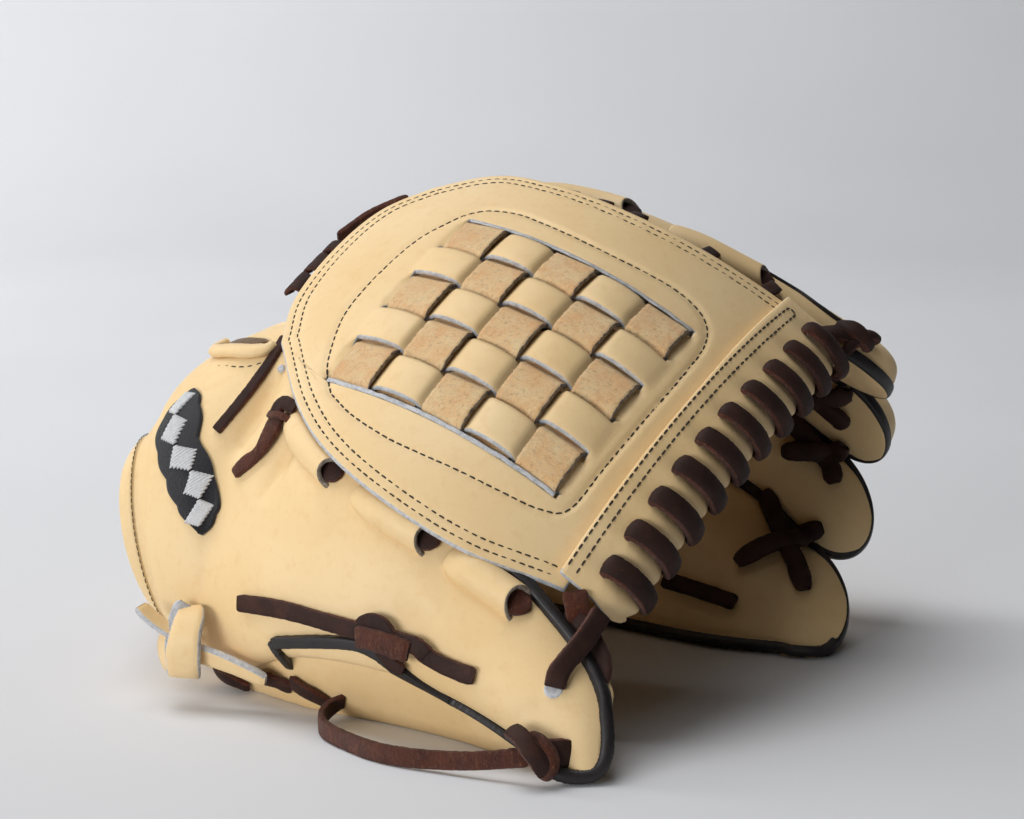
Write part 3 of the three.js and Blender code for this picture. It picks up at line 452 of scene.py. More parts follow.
def lace(path, face, width=laceWidth, thick=laceThick, sides=None, flip=False, seed=1, step=0.8, twist=None,
         widths=None, dome=0.0):
    path, face = np.asarray(path, float), np.asarray(face, float)
    length = np.linalg.norm(np.diff(curveAt(path, np.linspace(0, 1, 200)), axis=0), axis=1).sum()
    n = max(10, int(length / step))
    t = np.linspace(0, 1, n)
    p = curveAt(path, t)
    along = unit(np.gradient(p, axis=0))
    d = unit(curveAt(face, t))
    if sides is None:
        side = unit(np.cross(along, d))
        up = unit(np.cross(side, along))
    else:
        side = unit(curveAt(np.asarray(sides, float), t))
        up = d
    if twist is not None:
        angle = np.radians(curveAt(np.asarray(twist, float)[:, None], t))
        side, up = side * np.cos(angle) + up * np.sin(angle), up * np.cos(angle) - side * np.sin(angle)
    rng = np.random.default_rng(seed)
    wave = np.interp(t * n, np.arange(n + 1), rng.normal(0, 1, n + 1))
    slow = np.interp(t, np.linspace(0, 1, 8), rng.normal(0, 1, 8))
    broad = width / 2 * (1 + 0.012 * wave + 0.03 * slow)
    if widths is not None:
        broad = broad * curveAt(np.asarray(widths, float)[:, None], t)[:, 0]
    # worn, rounded ends
    ends = np.minimum(t, 1 - t) * length
    shrinkW = np.interp(ends, [0, 0.5, 1.2], [0.86, 0.96, 1])
    shrinkT = np.interp(ends, [0, 0.4, 1.0], [0.5, 0.9, 1])
    mid = p + up * thick / 2
    x = laceSection[:, 0][None] * (broad * shrinkW)[:, None]
    y = laceSection[:, 1][None] * (thick / 2 * shrinkT)[:, None]
    y = y + dome * thick * ((1 - laceSection[:, 0] ** 2) * (laceSection[:, 1] > 0.9))[None]
    rough = rng.normal(0, 0.05, x.shape) * (np.abs(laceSection[:, 0]) > 0.9)
    x = x + rough
    points = mid[:, None] + side[:, None] * x[..., None] + up[:, None] * y[..., None]
    m = len(laceSection)
    faces, marks = [], []
    for k in range(m):
        q = (k + 1) % m
        r = np.arange(n - 1) * m
        faces.append(np.stack([r + k, r + q, r + m + q, r + m + k], axis=1))
        kind = laceMarks[k]
        marks += [(2 - kind if kind != 1 else 1) if flip else kind] * (n - 1)
    faces = np.vstack(faces).tolist()
    faces.append(list(range(m)))
    faces.append([(n - 1) * m + k for k in range(m)][::-1])
    marks += [1, 1]
    return points.reshape(-1, 3), faces, np.array(marks)


def surfaceLace(surface, rows, sign=1, **more):
    # rows are i, j and lift along a lace that lies on the surface
    r = curveAt(np.asarray(rows, float), np.linspace(0, 1, 4 * len(rows)))
    p, up = onSurface(surface, r[:, 0], r[:, 1], r[:, 2], sign)
    return lace(p, up, **more)


def eased(points, times):
    # each point drawn towards its neighbours, the ends kept
    points = np.array(points, float)
    for _ in range(times):
        points[1:-1] = (points[:-2] + 2 * points[1:-1] + points[2:]) / 4
    return points


def straightened(points):
    # the points eased onto one smooth arc
    t = np.linspace(0, 1, len(points))
    return np.stack([np.polyval(np.polyfit(t, points[:, q], 2), t) for q in range(3)], axis=1)


def edgePath(surface, rows, inside, count=60, reach=0.5):
    # points along an edge, up from the leather and out past the edge, away from the place inside
    r = curveAt(np.asarray(rows, float), np.linspace(0, 1, count))
    p, up = onSurface(surface, r[:, 0], r[:, 1], reach=reach)
    out = unit(np.cross(unit(np.gradient(p, axis=0)), up))
    target = surface(np.array(float(inside[0])), np.array(float(inside[1])))
    return p, up, out * np.sign((out * (p - target)).sum())


def edgeFold(p, up, out, inset=3.4, back=3.0, thick=shellLeather, lift=0.8, nose=1.6, floor=None,
             start=0.1):
    # leather folded round an edge, from its outer face over the nose to the inner face
    section = np.array([
        [-inset, start], [-inset * 0.7, lift * 0.85], [-inset * 0.3, lift * 1.1], [nose * 0.45, lift * 0.7],
        [nose * 0.95, -thick * 0.2], [nose * 0.95, -thick * 0.8], [nose * 0.45, -thick - lift * 0.7],
        [-back * 0.4, -thick - lift], [-back, -thick - lift * 0.6],
    ])
    x = curveAt(section, np.linspace(0, 1, 27))
    body = p[:, None] + out[:, None] * x[None, :, :1] + up[:, None] * x[None, :, 1:]
    if floor is not None:
        body = rest(body, floor)
    quads = gridQuads(*body.shape[:2])
    flat = body.reshape(-1, 3)
    if (vertexNormals(flat, quads).reshape(body.shape)[:, 4] * up).sum() < 0:
        quads = quads[:, ::-1]
    return sheet(flat, quads, foldLeather)


def surfaceRow(surface, rows, lift):
    r = curveAt(np.asarray(rows, float), np.linspace(0, 1, 40))
    return onSurface(surface, r[:, 0], r[:, 1], lift)


def stitchRun(points, ups, pitch=2.7, length=2.3, radius=0.25, lift=0.1):
    # one row of stitches along a line of points, each a small thread with its ends pulled in
    points, ups = np.asarray(points, float), np.asarray(ups, float)
    run = np.concatenate([[0], np.cumsum(np.linalg.norm(np.diff(points, axis=0), axis=1))])
    count = int(run[-1] / pitch)
    if count < 1:
        return []
    at = (np.arange(count) + 0.5) * (run[-1] / count)
    centre = np.stack([np.interp(at, run, points[:, q]) for q in range(3)], axis=1)
    ahead = np.stack([np.interp(at + 0.6, run, points[:, q]) for q in range(3)], axis=1)
    behind = np.stack([np.interp(at - 0.6, run, points[:, q]) for q in range(3)], axis=1)
    up = unit(np.stack([np.interp(at, run, ups[:, q]) for q in range(3)], axis=1))
    along = unit(ahead - behind)
    side = unit(np.cross(along, up))
    steps = [(-0.5, 0.45, -0.4), (-0.32, 1, -0.02), (0, 1.08, 0.05), (0.32, 1, -0.02), (0.5, 0.45, -0.4)]
    rings = []
    for place, size, sink in steps:
        for k in range(6):
            q = math.pi / 3 * k
            rings.append(centre + along * place * length
                         + side * math.cos(q) * radius * size
                         + up * (math.sin(q) * radius * size * 0.8 + lift + sink))
    block = np.stack(rings, axis=1)
    faces = []
    for r in range(4):
        for k in range(6):
            q = (k + 1) % 6
            faces.append([r * 6 + k, r * 6 + q, r * 6 + 6 + q, r * 6 + 6 + k])
    faces.append([0, 1, 2, 3, 4, 5])
    faces.append([29, 28, 27, 26, 25, 24])
    return [(stitch, faces, [0] * len(faces)) for stitch in block]


print("stage: shapes ready")


# ---- materials ----
# the rows of "noise" are scale, detail, roughness and stretch, and the first one gives the tone
# the rows of "over" are noise, colour, low, high and most, those of "bumps" noise, strength and depth in metres
felt = {"noise": [(1500, 6, 0.8)], "rough": 0.9, "specular": 0.1, "sheen": 0.4, "bumps": [(0, 1.0, 0.0005)]}
looks = {
    "cream leather": {
        "colour": "e9c98f", "rough": 0.5, "roughBy": (0.44, 0.58), "specular": 0.38, "sheen": 0.06,
        "noise": [(22, 3, 0.5), (260, 3, 0.6), (1500, 2, 0.6)], "cells": 900,
        "tone": [(0.3, "e8c68e"), (0.7, "efd2a1")], "over": [(1, "dcae74", 0.52, 0.85, 0.35)],
        "bumps": [(1, 0.25, 0.0003), (3, 0.16, 0.0001), (2, 0.16, 0.00012)]},
    "suede": {
        "colour": "d9a868", "rough": 0.95, "specular": 0.12, "sheen": 0.3,
        "noise": [(160, 4, 0.6), (620, 6, 0.78, (1, 1.8, 1)), (1800, 4, 0.75)],
        "tone": [(0.32, "fac385"), (0.7, "ffdfa9")],
        "over": [(1, "a5652f", 0.52, 0.66, 0.4), (2, "fff0d2", 0.54, 0.68, 0.6)],
        "bumps": [(1, 1.0, 0.001), (2, 0.6, 0.0003)]},
    "leather edge": {
        "colour": "d8b580", "rough": 0.85, "specular": 0.15, "noise": [(500, 5, 0.75)],
        "tone": [(0.3, "b9905c"), (0.5, "d8b580"), (0.75, "e6d0a8")], "bumps": [(0, 0.7, 0.0003)]},
    "pale cut edge": {
        "colour": "c9cacd", "rough": 0.9, "specular": 0.12, "noise": [(500, 5, 0.75), (2200, 3, 0.7)],
        "tone": [(0.35, "a7a9ad"), (0.55, "c9cacd"), (0.75, "dedcd8")],
        "bumps": [(0, 0.8, 0.0004), (1, 0.5, 0.0002)]},
    "dark cut edge": {
        "colour": "6f665f", "rough": 0.95, "specular": 0.1, "noise": [(600, 6, 0.8)],
        "tone": [(0.35, "5b5148"), (0.5, "92867a"), (0.7, "bfb4a6")], "bumps": [(0, 1.0, 0.0007)]},
    "dark lace": {
        "colour": "372522", "rough": 0.55, "roughBy": (0.6, 0.8), "specular": 0.25,
        "noise": [(120, 4, 0.6), (1100, 4, 0.65)],
        "tone": [(0.3, "251511"), (0.55, "35201a"), (0.8, "47291f")], "over": [(1, "6b4436", 0.6, 0.8, 0.45)],
        "bumps": [(1, 0.35, 0.0002), (0, 0.3, 0.0004)]},
    "lace flesh side": {
        "colour": "6d3c28", "rough": 0.95, "specular": 0.1, "sheen": 0.2,
        "noise": [(160, 4, 0.6), (900, 6, 0.8, (1, 1, 0.45)), (2600, 3, 0.7)],
        "tone": [(0.3, "4a2416"), (0.7, "683521")],
        "over": [(1, "b0724e", 0.54, 0.7, 0.7), (2, "2c140c", 0.55, 0.7, 0.6)],
        "bumps": [(1, 1.0, 0.0012), (2, 0.8, 0.0004)]},
    "black binding leather": {
        "colour": "2a2629", "rough": 0.45, "roughBy": (0.38, 0.56), "noise": [(150, 4, 0.6), (1300, 4, 0.6)],
        "tone": [(0.3, "171314"), (0.7, "272122")], "over": [(1, "4b4548", 0.62, 0.8, 0.4)],
        "bumps": [(1, 0.3, 0.0002), (0, 0.25, 0.0004)]},
    "dark thread": {
        "colour": "2b2620", "rough": 0.7, "noise": [(2600, 3, 0.6)],
        "tone": [(0.35, "15120f"), (0.7, "3a352c")], "bumps": [(0, 0.8, 0.0002)]},
    "glove lining": {
        "colour": "d8bd90", "rough": 0.9, "sheen": 0.2, "noise": [(60, 4, 0.6), (900, 5, 0.7)],
        "tone": [(0.3, "cfae7c"), (0.7, "dcc097")], "over": [(1, "a9834f", 0.55, 0.8, 0.5)],
        "bumps": [(1, 0.6, 0.0004)]},
    "black felt": {**felt, "colour": "17171a", "rough": 0.95, "tone": [(0.35, "101013"), (0.7, "2b2b30")]},
    "white thread": {**felt, "colour": "e8e8e8", "tone": [(0.35, "cfd0d3"), (0.7, "f4f4f4")]},
    # painted shade: a dark brown that stands in for the shade inside the hollow behind the thumb's lip
    "painted hollow shade": {**felt, "colour": "75593a", "tone": [(0.35, "5f4629"), (0.7, "87694a")]},
    "pale paper": {
        "colour": "dcdee2", "rough": 0.9, "specular": 0.1, "noise": [(3, 2, 0.5)],
        "tone": [(0.3, "dcdde0"), (0.7, "e2e3e6")]},
}
fineBand = (0.3, 0.7)


def linear(hexCode):
    values = [int(hexCode[k:k + 2], 16) / 255 for k in (0, 2, 4)]
    return tuple(v / 12.92 if v <= 0.04045 else ((v + 0.055) / 1.055) ** 2.4 for v in values)


def addNoise(tree, place, scale, detail, roughness, stretch=None):
    n = tree.nodes.new("ShaderNodeTexNoise")
    for key, value in (("Scale", scale), ("Detail", detail), ("Roughness", roughness)):
        n.inputs[key].default_value = value
    if stretch is not None:
        turn = tree.nodes.new("ShaderNodeMapping")
        turn.inputs["Scale"].default_value = stretch
        tree.links.new(place, turn.inputs["Vector"])
        place = turn.outputs["Vector"]
    tree.links.new(place, n.inputs["Vector"])
    return n.outputs["Fac"]


def addCells(tree, place, scale):
    n = tree.nodes.new("ShaderNodeTexVoronoi")
    n.feature = "DISTANCE_TO_EDGE"
    n.inputs["Scale"].default_value = scale
    tree.links.new(place, n.inputs["Vector"])
    return toRange(tree, n.outputs["Distance"], 0, 0.12, 0, 1)


def ramp(tree, value, stops):
    n = tree.nodes.new("ShaderNodeValToRGB")
    bar = n.color_ramp
    while len(bar.elements) < len(stops):
        bar.elements.new(0.5)
    for e, (at, colour) in zip(bar.elements, stops):
        e.position = at
        e.color = (*linear(colour), 1)
    tree.links.new(value, n.inputs["Fac"])
    return n.outputs["Color"]


def toRange(tree, value, low, high, toLow, toHigh):
    n = tree.nodes.new("ShaderNodeMapRange")
    for k, v in zip(("From Min", "From Max", "To Min", "To Max"), (low, high, toLow, toHigh)):
        n.inputs[k].default_value = v
    tree.links.new(value, n.inputs["Value"])
    return n.outputs["Result"]


def blendColour(tree, under, colour, amount):
    n = tree.nodes.new("ShaderNodeMix")
    n.data_type = "RGBA"
    n.inputs[7].default_value = (*linear(colour), 1)
    tree.links.new(amount, n.inputs[0])
    tree.links.new(under, n.inputs[6])
    return n.outputs[2]


def addBumps(tree, shader, layers):
    target = shader.inputs["Normal"]
    for value, strength, depth in reversed(layers):
        n = tree.nodes.new("ShaderNodeBump")
        n.inputs["Strength"].default_value = strength
        n.inputs["Distance"].default_value = depth
        tree.links.new(value, n.inputs["Height"])
        tree.links.new(n.outputs["Normal"], target)
        target = n.inputs["Normal"]


def nodeMaterial(name):
    look = looks[name]
    m = bpy.data.materials.new(name)
    m.use_nodes = True
    tree = m.node_tree
    shader = tree.nodes["Principled BSDF"]
    shader.inputs["Base Color"].default_value = (*linear(look["colour"]), 1)
    for key, socket in (("rough", "Roughness"), ("specular", "Specular IOR Level"),
                        ("sheen", "Sheen Weight")):
        if key in look:
            shader.inputs[socket].default_value = look[key]
    place = tree.nodes.new("ShaderNodeTexCoord").outputs["Object"]
    noises = [addNoise(tree, place, *row) for row in look["noise"]]
    if "cells" in look:
        noises.append(addCells(tree, place, look["cells"]))
    tone = ramp(tree, noises[0], look["tone"])
    for k, colour, low, high, most in look.get("over", []):
        tone = blendColour(tree, tone, colour, toRange(tree, noises[k], low, high, 0, most))
    tree.links.new(tone, shader.inputs["Base Color"])
    if "roughBy" in look:
        tree.links.new(toRange(tree, noises[1], *fineBand, *look["roughBy"]), shader.inputs["Roughness"])
    addBumps(tree, shader, [(noises[k], strength, depth) for k, strength, depth in look.get("bumps", [])])
    return m


cream = nodeMaterial("cream leather")
suede = nodeMaterial("suede")
rimTan = nodeMaterial("leather edge")
rimPale = nodeMaterial("pale cut edge")
rimDark = nodeMaterial("dark cut edge")
laceFace = nodeMaterial("dark lace")
laceFlesh = nodeMaterial("lace flesh side")
binding = nodeMaterial("black binding leather")
thread = nodeMaterial("dark thread")
liningCloth = nodeMaterial("glove lining")
feltBlack = nodeMaterial("black felt")
feltWhite = nodeMaterial("white thread")
# painted shade for the hollow behind the thumb's lip
hollowShadePaint = nodeMaterial("painted hollow shade")
darkLace = [laceFace, laceFlesh, laceFlesh]
print("stage: materials ready")

# ---- thumb back with the wrist strap ----
threads = []
# dents, and ridges with a depth under 0: grid rows and columns along a line, then depth and width in mm
pipingLine = [(12.45, 1.25), (13.38, 1.44), (14.38, 1.75), (15.38, 2.06), (16.0, 1.95), (16.45, 1.4),
              (17.0, 0.5)]
thumbFolds = [
    [[(10.4, 6.8), (10.2, 5.8), (9.7, 4.9)], 3.3, 3.0],
    [[(12.9, 6.9), (12.6, 6.0), (12.1, 5.0)], 3.5, 3.2],
    [[(9.4, 6.0), (8.9, 5.2), (8.3, 4.9)], -0.7, 3.0],
    [[(11.6, 6.4), (11.2, 5.4), (10.6, 4.7)], -0.9, 3.2],
    [[(6.5, 7.1), (7.1, 6.95), (7.8, 6.8), (8.5, 6.8)], 1.6, 2.2],
    [[(6.4, 7.0), (6.9, 6.45), (7.8, 6.3), (8.7, 6.35), (9.3, 6.8)], -1.2, 2.4],
    [[(14.2, 6.2), (14.6, 5.6), (15.2, 5.3)], -0.6, 4.0],
    [pipingLine, 1.1, 1.7],
    [[(12.9, 0.5), (14.5, 0.8), (16.0, 0.8)], -1.0, 3.0],
    [[(17.6, 4.8), (18.4, 4.4), (19.3, 4.5)], 0.7, 4.0],
    [[(21.0, 2.2), (22.0, 2.8), (23.2, 2.8)], 0.6, 4.0],
]


def foldLift(points, surface, folds):
    lift = np.zeros(len(points))
    for line, depth, width in folds:
        t = np.linspace(0, 1, 40)
        row = curveAt(np.array(line, float), t)
        on = surface(row[:, 0], row[:, 1])
        d2 = ((points[:, None] - on[None]) ** 2).sum(-1)
        near = d2.argmin(1)
        fade = np.sin(math.pi * np.clip(0.06 + 0.88 * t[near], 0, 1)) ** 0.7
        lift -= depth * fade * np.exp(-d2.min(1) / (width * width))
    return lift


def thumbBack():
    rows = np.arange(0, thumbEnd + 0.01, 0.125)
    columns = np.linspace(0, thumbWide, 97)
    main = grid(thumbSurface, rows, columns)
    strapRowsAt = rows[rows <= strapEnd + 0.001]
    strap = grid(strapSurface, strapRowsAt, np.linspace(0, 1, 81))
    strap[:, 0] = main[:len(strapRowsAt), -1]
    ni, nj = main.shape[:2]
    mi, mj = strap.shape[:2]
    points = np.vstack([main.reshape(-1, 3), strap.reshape(-1, 3)])
    quads = np.vstack([gridQuads(ni, nj), gridQuads(mi, mj) + ni * nj])
    points, quads, _ = weld(points, quads)
    normals = vertexNormals(points, quads)
    lift = foldLift(points, thumbSurface, thumbFolds)
    face = points + normals * lift[:, None]
    # the inside follows only the deep dents
    inside = points + normals * np.minimum(lift + 1.0, 0)[:, None]
    return sheet(face, quads, shellLeather, depthFrom=inside)


foldLook = {"inset": 3.1, "lift": 0.75, "stitch": 2.5}


def sewnFold(paths, nose=1.7):
    # a turned edge with its row of stitches
    p, up, out = (np.vstack([path[k] for path in paths]) for k in range(3))
    lift = foldLook["lift"]
    line = p - out * foldLook["stitch"] + up * (lift + 0.02)
    threads.extend(stitchRun(line, up, pitch=2.1, length=1.8, radius=0.17))
    return marked(edgeFold(p, up, out, inset=foldLook["inset"], nose=nose, lift=lift, start=-0.7), 0)


# the binding's middle line, over the back and then round the tip
tipRows = np.array([[20.6, 8], [21.6, 8], [22.5, 7.9], [23.4, 7.5], [24.25, 7.05], [25.1, 6.5], [25.8, 6.15]])
tipRound = np.array([[25.9, -146.5, 17.0], [26.3, -149.5, 12.1], [25.8, -151.5, 7.5], [24.3, -152.5, 4.3],
                     [21.9, -153.3, 2.5], [18.3, -153.8, 2.2], [14.5, -154.0, 2.5], [11, -154.3, 4.2]])
tipStart, tipStartUp = onSurface(thumbSurface, tipRows[:, 0], tipRows[:, 1], 0.3)
tipUps = np.vstack([tipStartUp, np.tile([0.1, -1.0, 0.25], (8, 1))])
tipLine = eased(curveAt(np.vstack([tipStart, tipRound]), np.linspace(0, 1, 64)), 8)
tipUp = unit(eased(curveAt(tipUps, np.linspace(0, 1, 64)), 8))
wristPaths = [
    edgePath(thumbSurface, [(0, 0.1), (0, 3), (0, 5), (0, 7.95)], (4, 4), 80),
    edgePath(strapSurface, [(0, 0.02), (0, 0.3), (0, 0.6), (0, 0.995)], (3, 0.5), 80, 0.03),
]
backRim = [edgePath(strapSurface, [(5, 0.995), (5, 0.6), (5, 0.3), (5, 0.03)], (2, 0.5), 80, 0.03)]
lip = [edgePath(thumbSurface, [(5.3, 8), (6.4, 8), (7.6, 8), (8.6, 8)], (7, 5), 40)]
thumbParts = [thumbBack(), sewnFold(wristPaths, nose=2.6), sewnFold(backRim),
              edgeFold(*lip[0], inset=2.4, nose=1.8, lift=0.9)]
# the hollow behind the lip, drawn as a thin dark strip of painted shade, and the roll round it
hollowShadeRows = [[6.7, 7.08, 0.3], [7.1, 6.95, 0.3], [7.65, 6.82, 0.3], [8.2, 6.76, 0.3], [8.7, 6.84, 0.3]]
rollRows = [[6.5, 7.35, 0.2], [6.35, 7.05, 0.6], [6.7, 6.7, 1.2], [7.5, 6.48, 1.4], [8.3, 6.42, 1.4],
            [9.0, 6.6, 1.2], [9.3, 6.9, 0.6]]
hollowShade = surfaceLace(thumbSurface, hollowShadeRows, width=3.6, thick=0.8, seed=15, widths=[0.3, 0.9, 1, 0.9, 0.3])
roll = surfaceLace(thumbSurface, rollRows, width=4.6, thick=1.7, seed=16, dome=0.45,
                   widths=[0.5, 0.8, 1, 1, 1, 0.8, 0.4])
# the palm leather's edge shows as a thin line beside the binding
lineBy = tipLine[18:32:2] + np.array([1.7, 3.2, 0.6])
besideTip = lace(lineBy, -np.ones((7, 1)) * np.array([[-0.2, 1.0, 0]]), width=2.0, thick=1.4, seed=17,
                 widths=[0.4, 1, 1, 1, 0.3])
thumbParts += [marked(besideTip, 0), marked(hollowShade, 3), marked(roll, 0)]
lipStitch = surfaceRow(thumbSurface, [(6.9, 6.3), (7.88, 6.13), (8.62, 6.19), (9.2, 6.46), (9.5, 6.88)], 0.3)
threads.extend(stitchRun(*lipStitch, radius=0.22))
# slot 3 holds the painted shade of the hollow behind the lip
makePiece("thumbBack", together(thumbParts), [cream, rimTan, liningCloth, hollowShadePaint], ["thumb_back"])


# ---- palm ----
palmLook = {"heel": 7.0, "palm": 5.0, "edge": 1.2, "fingerWide": 34.0, "groove": 1.5, "grooveWide": 1.8,
            "steps": 26}


def fingerSteps():
    return (1 - np.cos(np.linspace(0, math.pi, palmLook["steps"] + 1))) / 2


def palmOuter(i, j):
    # the thumb's palm leather brought up to the lower edge of the thumb's back, and swelling below it
    i, j = np.broadcast_arrays(np.asarray(i, float), np.asarray(j, float))
    at = np.interp(i, [0, 2, 4, 16], [0, 4.5, 9, 27])
    edge, up = onSurface(thumbSurface, at, 0 * at)
    down = unit(edge - thumbSurface(at, 0.6 + 0 * at))
    goal = edge + down * 0.4 - up * 1.0
    x = np.clip(j / 2.33, 0, 1)[..., None]
    first = thumbPalmSurface(i, 0 * i)
    p = thumbPalmSurface(i, j) + (goal - first) * (1 - smoothStep(x)) + up * 2.4 * 4 * x * (1 - x)
    return rest(p, 0.02)


def palmSkin():
    rows = np.concatenate([np.arange(0, lastStation, 0.125), lastStation + np.linspace(0, 3, 19)])
    columns = np.concatenate([np.linspace(-1, 0, 17)[:-1], *[f + fingerSteps()[:-1] for f in range(4)], [4]])
    limb = grid(palmSurface, rows, columns)
    keep = (columns[None, :-1] >= 0) | (rows[:-1, None] < crotchRow - 0.01)
    tRows = np.arange(0, lastStation + 0.01, 0.125)
    tColumns = np.linspace(0, 7, 57)
    thumb = grid(palmOuter, tRows, tColumns)
    shared = tRows <= crotchRow + 0.001
    thumb[shared, -1] = limb[:shared.sum(), 0]
    ni, nj = limb.shape[:2]
    quads = np.vstack([gridQuads(ni, nj, keep)[:, ::-1],
                       gridQuads(len(tRows), len(tColumns))[:, ::-1] + ni * nj])
    thick, thin = palmLook["heel"], palmLook["palm"]
    heel = np.interp(rows, [0, 4, 5.5], [thick, thick, thin])
    u = np.clip(columns, 0, 4) % 1
    seam = np.clip(1 - np.abs(u - 0.5) / 0.38, 0, 1)
    depth = palmSeam + (heel[:, None] - palmSeam) * seam[None]
    depth[:, columns < 0] = mix(heel[:, None], palmSeam, smoothStep((columns[columns < 0] + 0.3) / 0.3)[None])
    depth[rows > lastStation - 0.5] = palmSeam
    depth[(rows < 6)[:, None] & (columns > 2.9)[None]] = palmSeam
    depth[:, columns > 3.9] = palmFoot
    tHeel = np.interp(tRows, [0, 4, 5.5, 12.5, 13.5], [thick, thick, thin, thin, palmSeam])
    tDepth = mix(palmLook["edge"], tHeel[:, None], smoothStep((tColumns - 1.5) / 2.5)[None])
    # the seams between the fingers are pressed in
    away = np.minimum(u, 1 - u) * palmLook["fingerWide"]
    groove = palmLook["groove"] * np.exp(-(away / palmLook["grooveWide"]) ** 2)
    groove = groove * (columns > 0.02) * (columns < 3.98)
    press = groove[None] * smoothStep((rows - 5) / 3)[:, None]
    allPoints = np.vstack([limb.reshape(-1, 3), thumb.reshape(-1, 3)])
    allDepth = np.concatenate([depth.reshape(-1), tDepth.reshape(-1)])
    allPress = np.concatenate([press.reshape(-1), np.zeros(thumb.shape[0] * thumb.shape[1])])
    points, quads, first = weld(allPoints, quads)
    depth, press = allDepth[first], allPress[first]
    normals = vertexNormals(points, quads)
    face = rest(points - normals * press[:, None], 0)
    points, faces, marks = sheet(face, quads, depth, dirs=normals, depthFrom=points)
    return rest(points, 0), faces, marks


makePiece("palm", palmSkin(), [cream, rimTan, liningCloth], ["palm"])

# ---- finger backs ----
for f, name in enumerate(fingers):
    rows = np.linspace(0, len(backTables[f]) - 1, 110)
    body = grid(lambda i, j: backSurface(f, i, j), rows, np.linspace(0, 5, 61))
    part = sheet(body.reshape(-1, 3), gridQuads(*body.shape[:2]), shellLeather)
    if name == "pinky":
        # no further than the binding
        part[0][:, 0] = np.minimum(part[0][:, 0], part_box("pinky_back")[1][0] * 1000 + floorMiddle[0] - 0.6)
    makePiece(name + "Back", part, [cream, rimTan, liningCloth], [name + "_back"])
print("stage: leathers done")

# ---- web panel ----
weave = {"cells": 5, "pitchA": 16.4, "pitchB": 15.0, "slit": 3.0, "wave": 1.2, "dome": 0.9}
webLeather = 2.0
edgeStitch = [2.3, 5.0]
halfA = weave["cells"] * weave["pitchA"] / 2
rimB = 39.0
blockA = halfA + 2.5
borderRings = 36
webSides = [
    np.array([[-66, -27], [-44, -48], [-23, -60], [3, -66], [29, -66], [56, -58]], float),
    np.array([[56, -58], [58.5, -20], [58.5, 20], [55, 78]], float),
    np.array([[55, 78], [29, 74], [1, 71], [-28, 70], [-49, 68], [-66, 55]], float),
    np.array([[-66, 55], [-76, 40], [-78, 18], [-75, -8], [-66, -27]], float),
]
ovalStitch = np.array([
    [-36, -42], [-25, -46.5], [-11, -49], [1, -49], [13, -48], [27, -46.5], [39, -44], [45.5, -38.5],
    [46.5, -21.5], [47, -1.5], [47, 20], [45.5, 37], [40, 46], [29.5, 49], [16.5, 48], [5, 47], [-7, 47],
    [-19, 47.5], [-28.5, 48], [-38, 46], [-43.5, 41.5], [-47, 34.5], [-50.5, 24.5], [-52, 11.5],
    [-52.5, -2], [-51.5, -14], [-47, -26.5], [-42.5, -35], [-36, -42],
], float)


def cellCentre(k, pitch):
    return (k - (weave["cells"] - 1) / 2) * pitch


def stepped(x, edges, levels, soft):
    # levels joined by smooth steps at the edges
    lift = np.full_like(x, levels[0])
    for k, edge in enumerate(edges):
        lift = lift + (levels[k + 1] - levels[k]) * smoothStep((x - edge) / soft + 0.5)
    return lift


def strapHeight(a, i):
    # lift of smooth strap i along a: over and under the suede strips
    edges = [-halfA - 0.8] + [cellCentre(j, weave["pitchA"]) + 8.2 for j in range(4)] + [halfA + 0.8]
    levels = [0.0] + [(1 if (i + j) % 2 == 1 else -1) * weave["wave"] for j in range(5)] + [0.0]
    lift = stepped(a, edges, levels, 3.2)
    for j in range(5):
        if (i + j) % 2 == 1:
            local = (a - cellCentre(j, weave["pitchA"])) / 7.6
            lift = lift + weave["dome"] * np.clip(1 - local * local, 0, 1)
    return lift


